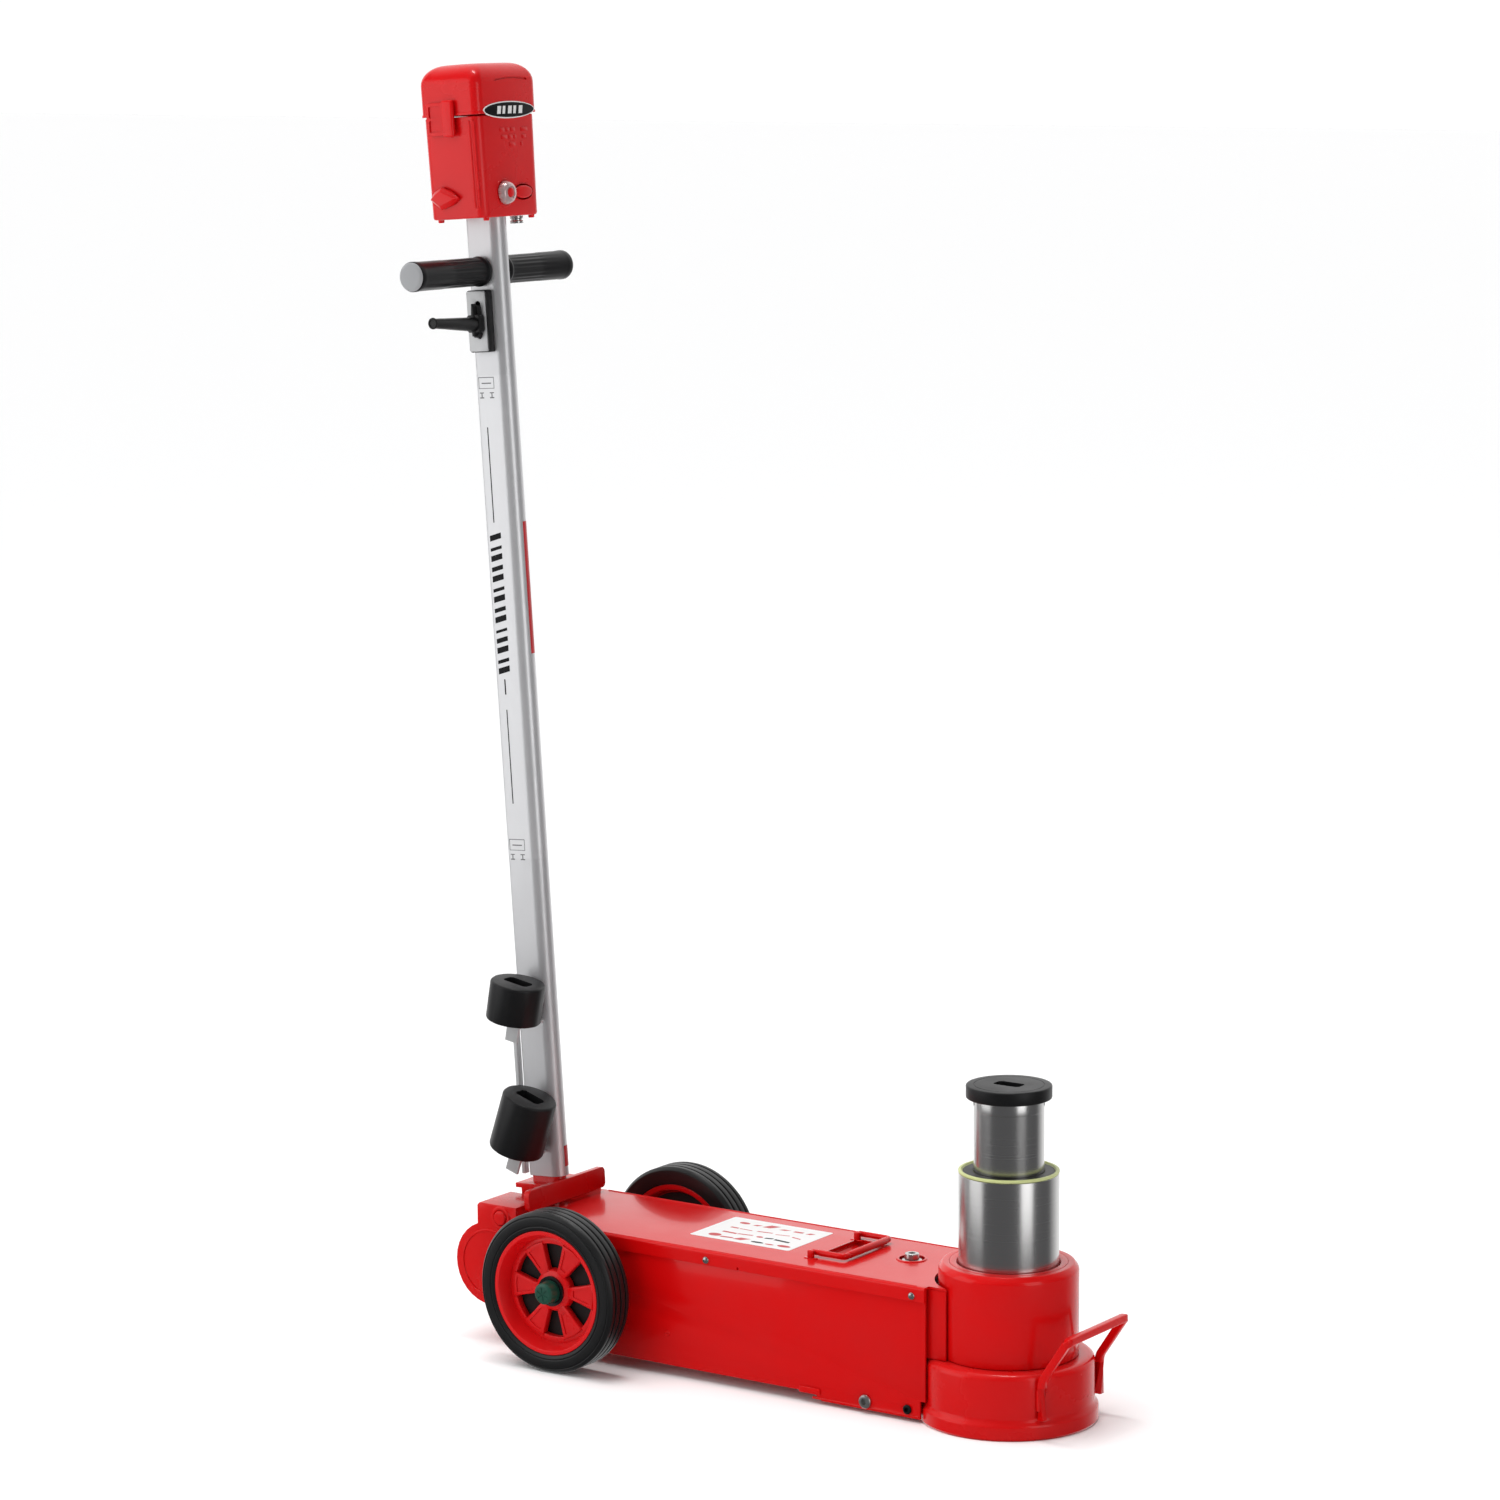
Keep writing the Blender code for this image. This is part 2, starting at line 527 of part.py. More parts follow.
def build_plugs():
    """Filler, drain and bleed plugs."""
    neck = [(0.0, 0.1462), (0.0070, 0.1462), (0.0075, 0.1454), (0.0075, 0.1400), (0.0105, 0.1396),
            (0.0105, 0.1372), (0.0070, 0.1372), (0.0070, 0.1215), (0.0, 0.1215)]
    turned("filler_plug", neck, (FILLER[0], FILLER[1], 0), ZINC, sides=18, closed=False)
    drain = [(0.0050, 0.0030), (0.0062, 0.0026), (0.0070, 0.0010), (0.0070, 0.0), (0.0050, 0.0),
             (0.0050, -0.0026), (0.0, -0.0026), (0.0, -0.0010), (0.0034, -0.0010), (0.0034, 0.0030)]
    turned("drain_plug", drain, (-0.1225, -PANEL_OUTER - GAP, 0.0125), ZINC, axis="Y", sides=16)
    bleed = [(0.0045, 0.0022), (0.0048, 0.0018), (0.0048, 0.0), (0.0035, 0.0), (0.0035, -0.0026),
             (0.0, -0.0026), (0.0, -0.0006), (0.0026, -0.0006), (0.0026, 0.0022)]
    turned("bleed_screw", bleed, (-0.0727, -PANEL_OUTER - GAP, 0.0125), BLACK_STEEL, axis="Y", sides=12)


def build_power_unit():
    """What stands inside the chassis: oil tank, pump and air motor."""
    deck = FLOOR_LEVEL + 0.003 + GAP
    top = 0.1180
    tank = box("oil_tank", (-0.222, -0.064, deck), (-0.096, 0.064, top), GREY_PLASTIC, bevel=0.006, along=2)
    cut(tank,
        box("tank_hollow", (-0.219, -0.061, deck + 0.003), (-0.099, 0.061, top - 0.003), None, group=TOOLS),
        rod("tank_mouth", (FILLER[0], FILLER[1], 0.10), (FILLER[0], FILLER[1], 0.13), 0.0070 + GAP, None,
            group=TOOLS, sides=24))
    pump = box("pump_block", (-0.300, -0.045, deck), (-0.2225, 0.045, 0.095), CAST_IRON, bevel=0.003)
    port = rod("pump_port", (-0.262, -0.02, 0.060), (-0.262, -0.06, 0.060), 0.0043, None, group=TOOLS,
               sides=12)
    cut(pump, port)
    motor = rod("air_motor", (-0.4480, 0.0, 0.0640), (-0.3003, 0.0, 0.0640), 0.0330, ALUMINIUM, sides=32,
                chamfer=0.002)
    foot = box("motor_foot", (-0.430, -0.020, deck), (-0.320, 0.020, 0.045), None, group=TOOLS)
    weld(motor, foot)
    points = [(-0.262, -0.0400, 0.060), (-0.262, -0.0530, 0.060), (-0.262, -0.0590, 0.057),
              (-0.262, -0.0620, 0.050), (-0.262, -0.0625, 0.0400), (-0.260, -0.0625, 0.0345),
              (-0.254, -0.0625, 0.0320), (-0.230, -0.0625, 0.0320)]
    wire("pressure_pipe", points, 0.0030, ZINC, sides=8)


# ---------------------------------------------------------------- wheels
def build_wheel(side, sign):
    outer = WHEEL_FACE
    inner = WHEEL_FACE - TYRE_WIDTH
    middle = (outer + inner) / 2
    half = TYRE_WIDTH / 2
    tyre = [(WHEEL_RADIUS - 0.0030, half), (WHEEL_RADIUS, half - 0.0040),
            (WHEEL_RADIUS, -half + 0.0040), (WHEEL_RADIUS - 0.0030, -half),
            (RIM_RADIUS + GAP, -half + 0.0020), (RIM_RADIUS + GAP, half - 0.0020)]
    place_at = (AXLE_X, sign * middle, WHEEL_RADIUS)
    turned("tyre_" + side, tyre, place_at, RUBBER, axis="Y", sides=40)
    web = WEB_FACE - middle
    lip = RIM_RADIUS - 0.0055
    # the profile is drawn for the face that looks outwards at local +z
    rim = [(AXLE_RADIUS + GAP, web + 0.0010), (0.0545, web - 0.0010), (lip, half - 0.0030),
           (RIM_RADIUS, half - 0.0020), (RIM_RADIUS, -half + 0.0020), (lip, -half + 0.0020),
           (0.0545, web - 0.0100), (0.0200, web - 0.0100), (0.0165, -half + 0.0010),
           (AXLE_RADIUS + GAP, -half + 0.0010)]
    piece = meshed(turned("rim_" + side, rim, place_at, RED_PLASTIC, axis="Y", sides=28))
    if sign > 0:
        piece.rotation_euler = (-math.pi / 2, 0.0, 0.0)
    for index in range(6):
        turn = math.radians(90 + 60 * index)
        wedge = [(0.0225, -0.0015), (0.0470, -0.0110), (0.0500, -0.0070), (0.0508, 0.0),
                 (0.0500, 0.0070), (0.0470, 0.0110), (0.0225, 0.0015)]
        spots = [(AXLE_X + r * math.cos(turn) - t * math.sin(turn),
                  WHEEL_RADIUS + r * math.sin(turn) + t * math.cos(turn)) for r, t in wedge]
        gap = plate("spoke_gap_%s_%d" % (side, index), [spots], "XZ", sign * middle, 0.05, None,
                    group=TOOLS)
        cut(piece, gap)
    face = sign * (WEB_FACE + 0.0010 + GAP)
    end = sign * 0.1395
    cap = rod("hub_cap_" + side, (AXLE_X, face, WHEEL_RADIUS), (AXLE_X, end, WHEEL_RADIUS), 0.0135,
              GREEN_PLASTIC, sides=24, chamfer=0.0015)
    recess = rod("hub_recess_" + side, (AXLE_X, sign * 0.10, WHEEL_RADIUS),
                 (AXLE_X, sign * 0.1350, WHEEL_RADIUS), AXLE_RADIUS + GAP, None, group=TOOLS)
    cut(cap, recess)


def build_running_gear():
    rod("axle", (AXLE_X, -0.1345, WHEEL_RADIUS), (AXLE_X, 0.1345, WHEEL_RADIUS), AXLE_RADIUS, STEEL, sides=24)
    for side, sign in (("near", -1), ("far", 1)):
        build_wheel(side, sign)
        start = HALF_WIDTH + GAP
        end = WHEEL_FACE - TYRE_WIDTH + 0.0010 - GAP
        ring = [(0.0140, end), (0.0140, start), (AXLE_RADIUS + GAP, start), (AXLE_RADIUS + GAP, end)]
        sleeve = turned("axle_sleeve_" + side, ring, (AXLE_X, 0, WHEEL_RADIUS), ZINC, axis="Y", sides=24)
        if sign > 0:
            sleeve.rotation_euler = (-math.pi / 2, 0.0, 0.0)


# ---------------------------------------------------------------- handle
def handle_frame():
    frame = bpy.data.objects.new("handle_frame", None)
    TOOLS.objects.link(frame)
    frame.location = (PIVOT_X, 0.0, PIVOT_Z)
    frame.rotation_euler = (0.0, -math.radians(LEAN_DEG), 0.0)
    return frame


def tube_outline(shrink):
    """The extrusion's outline: flat at the back with small corners, half round in front."""
    half = TUBE_THICKNESS / 2 - shrink
    back = TUBE_X - TUBE_DEPTH / 2 + shrink
    front_centre = TUBE_X + TUBE_DEPTH / 2 - TUBE_THICKNESS / 2
    corner = max(0.004 - shrink, 0.001)
    points = arc((front_centre, 0.0), half, -90, 90, 10)
    points += arc((back + corner, half - corner), corner, 90, 180, 2)
    points += arc((back + corner, -half + corner), corner, 180, 270, 2)
    return points


def build_yoke(frame):
    """The pivoting bracket: stop plate across the front, seat, two ears and a spigot."""
    seat_low, seat_high = 0.0195, 0.0245
    seat = box("yoke", (-0.0215, -0.0195, seat_low), (0.0270, 0.0195, seat_high), RED, frame)
    stop = plate("yoke_stop", [rounded((-0.0670, 0.0062), (0.0670, 0.0283), 0.0055)], "YZ", 0.0290,
                 0.0070, None, frame, TOOLS)
    ear = [(0.0140, 0.0220), (-0.0140, 0.0220)] + arc((0.0, 0.0), 0.0140, 180, 360, 12)
    near = plate("yoke_ear_near", [ear], "XZ", -0.0170, 0.0050, None, frame, TOOLS)
    far = plate("yoke_ear_far", [ear], "XZ", 0.0170, 0.0050, None, frame, TOOLS)
    shrink = TUBE_WALL + 0.0006
    spigot = plate("yoke_spigot", [tube_outline(shrink)], "XY", 0.0490, 0.0530, None, frame, TOOLS)
    weld(seat, stop, near, far, spigot)
    cut(seat, rod("yoke_bore", (0, -0.05, 0), (0, 0.05, 0), PIN_RADIUS + GAP, None, frame, TOOLS),
        rod("spigot_bore", (0.010, 0, 0.0), (0.010, 0, 0.10), 0.0060, None, frame, TOOLS))
    head = 0.0030
    shaft = PANEL_OUTER + SHEET + GAP
    pin = [(0.0, shaft + head), (0.0070, shaft + head), (0.0080, shaft + head - 0.001),
           (0.0080, shaft + GAP), (PIN_RADIUS, shaft + GAP), (PIN_RADIUS, -shaft), (0.0, -shaft)]
    turned("pivot_pin", pin, (PIVOT_X, 0.0, PIVOT_Z), STEEL, axis="Y", sides=24, closed=False)


def build_tube(frame):
    middle = (TUBE_TOP + TUBE_BOTTOM) / 2
    tube = plate("handle_tube", [tube_outline(0.0), tube_outline(TUBE_WALL)], "XY", middle,
                 TUBE_TOP - TUBE_BOTTOM, ALUMINIUM, frame)
    slot = rounded((0.0055, 0.9140), (0.0115, 0.9520), 0.0028)
    cut(tube, rod("grip_hole", (GRIP_X, -0.05, GRIP_HEIGHT), (GRIP_X, 0.05, GRIP_HEIGHT),
                  GRIP_BAR_RADIUS + GAP, None, frame, TOOLS),
        plate("lever_hole", [slot], "XZ", -0.0120, 0.012, None, frame, TOOLS))
    rod("lock_rod", (LOCK_X, 0.0, LOCK_TIP), (LOCK_X, 0.0, 0.9400), LOCK_RADIUS, STEEL, frame, sides=12)


def build_lock_sector():
    """The notched disc on the pivot pin; one notch for each locked handle angle."""
    outline = circle((0.0, 0.0), SECTOR_RADIUS, 24)
    hole = circle((0.0, 0.0), PIN_RADIUS + GAP, PIN_SIDES)
    sector = plate("lock_sector", [outline, hole], "XZ", 0.0, 0.0080, STEEL)
    sector.location = (PIVOT_X, 0.0, PIVOT_Z)
    for index, angle in enumerate(LOCK_ANGLES):
        turn = -math.radians(LEAN_DEG + angle)
        hub = bpy.data.objects.new("notch_frame_%d" % index, None)
        TOOLS.objects.link(hub)
        hub.location = (PIVOT_X, 0.0, PIVOT_Z)
        hub.rotation_euler = (0.0, turn, 0.0)
        half = LOCK_RADIUS + GAP
        cut(sector, box("notch_%d" % index, (LOCK_X - half, -0.01, 0.0115), (LOCK_X + half, 0.01, 0.03),
                        None, hub, TOOLS))


def build_grips(frame):
    x = GRIP_X
    bar = rod("grip_bar", (x, -0.1260, GRIP_HEIGHT), (x, 0.1260, GRIP_HEIGHT), GRIP_BAR_RADIUS,
              ALUMINIUM, frame, sides=24)
    weld(bar, rod("grip_collar", (x, FLAT_FACE + GAP, GRIP_HEIGHT), (x, FLAT_FACE + 0.0048, GRIP_HEIGHT),
                  0.0142, None, frame, TOOLS, sides=24))
    for side, sign in (("near", -1), ("far", 1)):
        start = FLAT_FACE + (GAP if sign < 0 else 0.0052)
        low, high = GRIP_END - 0.0032, start
        profile = [(GRIP_RADIUS - 0.0008, low), (GRIP_RADIUS, low - 0.002), (GRIP_RADIUS, high + 0.002),
                   (GRIP_RADIUS - 0.0012, high), (GRIP_BAR_RADIUS + GAP, high), (GRIP_BAR_RADIUS + GAP, low)]
        grip = turned("grip_" + side, profile, (x, 0.0, GRIP_HEIGHT), RUBBER, axis="Y", frame=frame, sides=28)
        cap = [(0.0, GRIP_END), (GRIP_RADIUS - 0.0018, GRIP_END), (GRIP_RADIUS - 0.0004, GRIP_END - 0.0012),
               (GRIP_RADIUS - 0.0004, GRIP_END - 0.0029), (0.0, GRIP_END - 0.0029)]
        end = turned("grip_cap_" + side, cap, (x, 0.0, GRIP_HEIGHT), GREY_PLASTIC, axis="Y", frame=frame,
                     sides=28, closed=False)
        if sign > 0:
            grip.rotation_euler = (-math.pi / 2, 0.0, 0.0)
            end.rotation_euler = (-math.pi / 2, 0.0, 0.0)


def build_release(frame):
    """The release lever in its slotted guide under the near grip."""
    back = -FLAT_FACE - GAP
    face = back - 0.0080
    slot = rounded((0.0050, 0.9150), (0.0120, 0.9540), 0.0034)
    plate("lock_housing", [rounded((-0.0060, 0.9010), (0.0200, 0.9650), 0.0020, 2), slot], "XZ",
          (back + face) / 2, 0.0080, BLACK_PLASTIC, frame)
    plate("slot_plate", [rounded((-0.0055, 0.9020), (0.0185, 0.9640), 0.0015, 2), slot], "XZ",
          face - GAP - 0.0009, 0.0018, ZINC, frame)
    top = face - GAP - 0.0018 - GAP
    lever = plate("release_lever", [rounded((0.0005, 0.9220), (0.0165, 0.9400), 0.0030, 3)], "XZ",
                  top - 0.0045, 0.0090, BLACK_PLASTIC, frame)
    spine = plate("lever_spine", [rounded((0.0040, 0.9165), (0.0130, 0.9500), 0.0030, 3)], "XZ",
                  top - 0.0025, 0.0050, None, frame, TOOLS)
    inside = -0.0036
    stem = plate("lever_stem", [rounded((0.0058, 0.9200), (0.0112, 0.9360), 0.0024, 3)], "XZ",
                 (inside + top - 0.0020) / 2, inside - top + 0.0020, None, frame, TOOLS)
    arm = rod("lever_arm", (0.0085, top - 0.0080, 0.9305), (0.0085, -0.0985, 0.9305), 0.0075, None, frame,
              TOOLS, sides=16, end_radius=0.0050, chamfer=0.0015)
    weld(lever, spine, stem, arm)


def lofted_box(name, levels, material, frame, group=None, corner=0.010, steps=4):
    """A box whose rounded rectangle changes with height: (z, back, front, half width, inset)."""
    bm = bmesh.new()
    rings = []
    for z, back, front, half, shrink in levels:
        radius = max(corner - shrink * 0.4, 0.003)
        points = rounded((back + shrink, -half + shrink), (front - shrink, half - shrink), radius, steps)
        rings.append([bm.verts.new((x, y, z)) for x, y in points])
    for low, high in zip(rings, rings[1:]):
        count = len(low)
        for i in range(count):
            j = (i + 1) % count
            bm.faces.new((low[i], low[j], high[j], high[i]))
    bm.faces.new(list(reversed(rings[0])))
    bm.faces.new(rings[-1])
    return place(name, mesh_from(bm, name), material, frame, group)


def button_outline(grow):
    """The oval push button's outline, as y and z in the handle's frame."""
    angles = [math.tau * i / 24 for i in range(24)]
    return [(BUTTON[0] + (BUTTON[2] + grow) * math.cos(a), BUTTON[1] + (BUTTON[3] + grow) * math.sin(a))
            for a in angles]


def build_control_box(frame):
    body = lofted_box("control_box", [
        (BOX_BOTTOM, -0.0262, 0.0448, 0.0474, 0.0025), (BOX_BOTTOM + 0.002, -0.0264, 0.0450, 0.0478, 0.0),
        (BOX_SEAM - GAP, -0.0268, 0.0454, 0.0498, 0.0)], RED_PLASTIC, frame)
    hollow = lofted_box("box_hollow", [
        (BOX_BOTTOM + 0.003, -0.0234, 0.0420, 0.0448, 0.0), (BOX_SEAM + 0.01, -0.0238, 0.0424, 0.0468, 0.0)],
        None, frame, TOOLS, corner=0.007)
    cut(body, hollow, plate("tube_entry", [tube_outline(-GAP)], "XY", BOX_BOTTOM, 0.02, None, frame, TOOLS),
        plate("button_hole", [button_outline(GAP)], "YZ", 0.0440, 0.0200, None, frame, TOOLS))
    dome = 0.020
    levels = [(BOX_SEAM, -0.0284, 0.0474, 0.0514, 0.0), (BOX_TOP - dome, -0.0286, 0.0478, 0.0518, 0.0)]
    for step in range(1, 5):
        angle = math.radians(90 * step / 4)
        levels.append((BOX_TOP - dome + dome * math.sin(angle), -0.0286, 0.0478, 0.0518,
                       dome * (1 - math.cos(angle))))
    cap = lofted_box("control_cap", levels, RED_PLASTIC, frame)
    cut(cap, lofted_box("cap_hollow", [
        (BOX_SEAM - 0.01, -0.0254, 0.0444, 0.0484, 0.0), (BOX_TOP - 0.016, -0.0256, 0.0448, 0.0488, 0.0),
        (BOX_TOP - 0.004, -0.0256, 0.0448, 0.0488, 0.012)], None, frame, TOOLS, corner=0.007))


def build_controls(frame):
    """The controls on the box: latch, turning knob, push button and flow lever."""
    side = -0.0518
    box("cap_latch", (0.0050, side - 0.0062, 1.1225), (0.0195, side - GAP - 0.0006, 1.1600), RED_PLASTIC,
        frame, bevel=0.0022)
    knob_x = 0.0456
    knob = [(0.0, 0.0090), (0.0060, 0.0088), (0.0100, 0.0070), (0.0122, 0.0020), (0.0122, 0.0), (0.0, 0.0)]
    turned("control_knob", knob, (knob_x + GAP, -0.0115, 1.0630), RED_PLASTIC, axis="X", frame=frame,
           sides=28, closed=False)
    plate("push_button", [button_outline(0.0)], "YZ", knob_x, 0.0060, RED_PLASTIC, frame)
    kite = [(-0.0205, 1.0600), (-0.0065, 1.0490), (0.0080, 1.0540), (0.0170, 1.0600), (0.0060, 1.0675),
            (-0.0050, 1.0722), (-0.0140, 1.0680)]
    plate("flow_lever", [list(reversed(kite))], "XZ", -0.0488 - GAP - 0.0035, 0.0070, RED_PLASTIC, frame)
    rod("air_inlet", (0.0300, 0.0250, BOX_BOTTOM - 0.0080), (0.0300, 0.0250, BOX_BOTTOM - GAP), 0.0070,
        ZINC, frame, sides=16, chamfer=0.0008)


def to_handle(x, z):
    """World x and z as the handle frame's own x and z."""
    lean = -math.radians(LEAN_DEG)
    dx, dz = x - PIVOT_X, z - PIVOT_Z
    return dx * math.cos(lean) - dz * math.sin(lean), dx * math.sin(lean) + dz * math.cos(lean)


def build_spacers(frame):
    """Two saddle extensions on pegs beside the tube, and the bracket that holds them."""
    strip = box("spacer_bracket", (-0.0150, -0.0152, 0.0340), (-0.0108, -0.0080, 0.2160), ALUMINIUM, frame)
    length, width, depth = SOCKET_SIZE
    radius = SPACER_RADIUS
    for name, (x, z, height, tilt) in SPACERS.items():
        centre_x, centre_z = to_handle(x, z)
        half = height / 2
        hub = bpy.data.objects.new("peg_frame_" + name, None)
        TOOLS.objects.link(hub)
        hub.parent = frame
        hub.location = (centre_x, SPACER_Y, centre_z)
        hub.rotation_euler = (0.0, math.radians(tilt + LEAN_DEG), 0.0)
        profile = [(0.0, half), (radius - 0.0026, half), (radius - 0.0006, half - 0.0018),
                   (radius, half - 0.004), (radius, -half + 0.004), (radius - 0.0010, -half + 0.001),
                   (radius - 0.0026, -half), (0.0, -half)]
        piece = meshed(turned("spacer_" + name, profile, (0, 0, 0), BLACK_STEEL, frame=hub, sides=28,
                              closed=False))
        cut(piece,
            box("spacer_socket_" + name, (-length / 2, -width / 2, half - depth),
                (length / 2, width / 2, half + 0.01), None, hub, TOOLS),
            rod("spacer_bore_" + name, (0, 0, -half - 0.01), (0, 0, -half + 0.016), 0.0075, None, hub,
                TOOLS, sides=16))
        top = -half - GAP
        weld(strip,
             box("link_" + name, (-0.0330, 0.0285, top - 0.0060), (0.0080, 0.0331, top - 0.0005), None, hub,
                 TOOLS),
             box("shelf_" + name, (-0.0090, -0.0120, top - 0.0030), (0.0170, 0.0310, top), None, hub, TOOLS),
             rod("peg_" + name, (0, 0, top - 0.0015), (0, 0, -half + 0.012), 0.0070, None, hub, TOOLS,
                 sides=16),
             box("lip_" + name, (0.0010, -0.0115, top - 0.0190), (0.0165, -0.0085, top - 0.0010), None, hub,
                 TOOLS))


def build_handle():
    frame = handle_frame()
    build_yoke(frame)
    build_tube(frame)
    build_lock_sector()
    build_grips(frame)
    build_release(frame)
    build_control_box(frame)
    build_controls(frame)
    build_spacers(frame)


build_base()
build_cylinder()
build_rams()
build_front_bail()
build_side_panels()
cover = build_cover()
build_neck()
build_cheeks()
build_tray(cover)
build_plugs()
build_power_unit()
build_running_gear()
build_handle()
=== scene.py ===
import json
import math
import random

import bmesh
import bpy
from mathutils import Matrix, Vector

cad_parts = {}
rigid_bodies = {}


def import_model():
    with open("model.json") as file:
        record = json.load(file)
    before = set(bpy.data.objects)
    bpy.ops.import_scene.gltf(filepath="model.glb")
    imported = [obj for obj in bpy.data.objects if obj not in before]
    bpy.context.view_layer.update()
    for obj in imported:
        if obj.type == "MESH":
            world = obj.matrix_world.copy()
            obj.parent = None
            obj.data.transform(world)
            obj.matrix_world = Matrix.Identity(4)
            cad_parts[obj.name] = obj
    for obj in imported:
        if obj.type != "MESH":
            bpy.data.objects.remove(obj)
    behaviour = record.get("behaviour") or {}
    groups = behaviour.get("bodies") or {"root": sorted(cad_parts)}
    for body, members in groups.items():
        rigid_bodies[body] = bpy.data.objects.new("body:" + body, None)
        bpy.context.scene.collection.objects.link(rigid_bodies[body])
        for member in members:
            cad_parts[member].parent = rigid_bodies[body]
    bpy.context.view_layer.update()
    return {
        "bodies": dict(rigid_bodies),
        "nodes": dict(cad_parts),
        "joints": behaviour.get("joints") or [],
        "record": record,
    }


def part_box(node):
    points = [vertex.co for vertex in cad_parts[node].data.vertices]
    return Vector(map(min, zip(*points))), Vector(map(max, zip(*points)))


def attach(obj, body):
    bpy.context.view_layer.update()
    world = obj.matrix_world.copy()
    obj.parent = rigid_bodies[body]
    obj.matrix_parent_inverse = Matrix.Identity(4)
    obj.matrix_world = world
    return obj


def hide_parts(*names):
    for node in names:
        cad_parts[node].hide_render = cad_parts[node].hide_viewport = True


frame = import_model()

nodes = frame["nodes"]
jointByName = {joint["name"]: joint for joint in frame["joints"]}

# the handle's own space: x forwards, y across, z up along the tube
handleUp = Vector(jointByName["handle_release"]["axis"]).normalized()
handlePivot = Vector(jointByName["handle_fold"]["pos_m"])
handlePivot.y = 0.0
handleFore = Vector((0.0, 1.0, 0.0)).cross(handleUp).normalized()
handleSpace = Matrix((
    (handleFore.x, 0.0, handleUp.x, handlePivot.x),
    (handleFore.y, 1.0, handleUp.y, handlePivot.y),
    (handleFore.z, 0.0, handleUp.z, handlePivot.z),
    (0.0, 0.0, 0.0, 1.0)))

facing = {  # turns a piece drawn along +z so that it looks this way
    "up": Matrix.Identity(4),
    "near": Matrix.Rotation(math.radians(90), 4, "X"),
    "far": Matrix.Rotation(math.radians(-90), 4, "X"),
    "front": Matrix.Rotation(math.radians(90), 4, "Z") @ Matrix.Rotation(math.radians(90), 4, "X"),
}


def at(x, y, z):
    return Matrix.Translation((x, y, z))


# shader groups
def newGroup(name, inputs, outputs):
    group = bpy.data.node_groups.new(name, "ShaderNodeTree")
    for label, kind, value in inputs:
        socket = group.interface.new_socket(name=label, in_out="INPUT", socket_type=kind)
        socket.default_value = value
    for label, kind in outputs:
        group.interface.new_socket(name=label, in_out="OUTPUT", socket_type=kind)
    start = group.nodes.new("NodeGroupInput")
    end = group.nodes.new("NodeGroupOutput")
    return group, start, end


def wire(group, *pairs):
    for source, target in pairs:
        group.links.new(source, target)


def makeGrainGroup():
    # fine = small even grain, broad = slow clouding, both 0 to 1
    group, start, end = newGroup("fineAndBroad", [
        ("Fine Scale", "NodeSocketFloat", 900.0), ("Broad Scale", "NodeSocketFloat", 14.0)],
        [("Fine", "NodeSocketFloat"), ("Broad", "NodeSocketFloat")])
    coords = group.nodes.new("ShaderNodeTexCoord")
    for label, detail in (("Fine", 3.0), ("Broad", 4.0)):
        noise = group.nodes.new("ShaderNodeTexNoise")
        noise.inputs["Detail"].default_value = detail
        noise.inputs["Roughness"].default_value = 0.6
        wire(group, (coords.outputs["Object"], noise.inputs["Vector"]),
             (start.outputs[label + " Scale"], noise.inputs["Scale"]),
             (noise.outputs["Fac"], end.inputs[label]))
    return group


def makeBrushGroup():
    # long scratches: the noise is squeezed by Squeeze, so the small number is the way they run
    group, start, end = newGroup("brushedLines", [
        ("Squeeze", "NodeSocketVector", (900.0, 900.0, 6.0))], [("Lines", "NodeSocketFloat")])
    coords = group.nodes.new("ShaderNodeTexCoord")
    stretch = group.nodes.new("ShaderNodeVectorMath")
    stretch.operation = "MULTIPLY"
    noise = group.nodes.new("ShaderNodeTexNoise")
    noise.inputs["Scale"].default_value = 1.0
    noise.inputs["Detail"].default_value = 3.0
    wire(group, (coords.outputs["Object"], stretch.inputs[0]), (start.outputs["Squeeze"], stretch.inputs[1]),
         (stretch.outputs["Vector"], noise.inputs["Vector"]), (noise.outputs["Fac"], end.inputs["Lines"]))
    return group


def makeRingGroup():
    # turning marks round a vertical axis: the noise only changes with height
    group, start, end = newGroup("turningMarks", [
        ("Density", "NodeSocketFloat", 1600.0)], [("Rings", "NodeSocketFloat")])
    coords = group.nodes.new("ShaderNodeTexCoord")
    split = group.nodes.new("ShaderNodeSeparateXYZ")
    join = group.nodes.new("ShaderNodeCombineXYZ")
    noise = group.nodes.new("ShaderNodeTexNoise")
    noise.inputs["Detail"].default_value = 2.0
    wire(group, (coords.outputs["Object"], split.inputs["Vector"]), (split.outputs["Z"], join.inputs["Z"]),
         (join.outputs["Vector"], noise.inputs["Vector"]), (start.outputs["Density"], noise.inputs["Scale"]),
         (noise.outputs["Fac"], end.inputs["Rings"]))
    return group


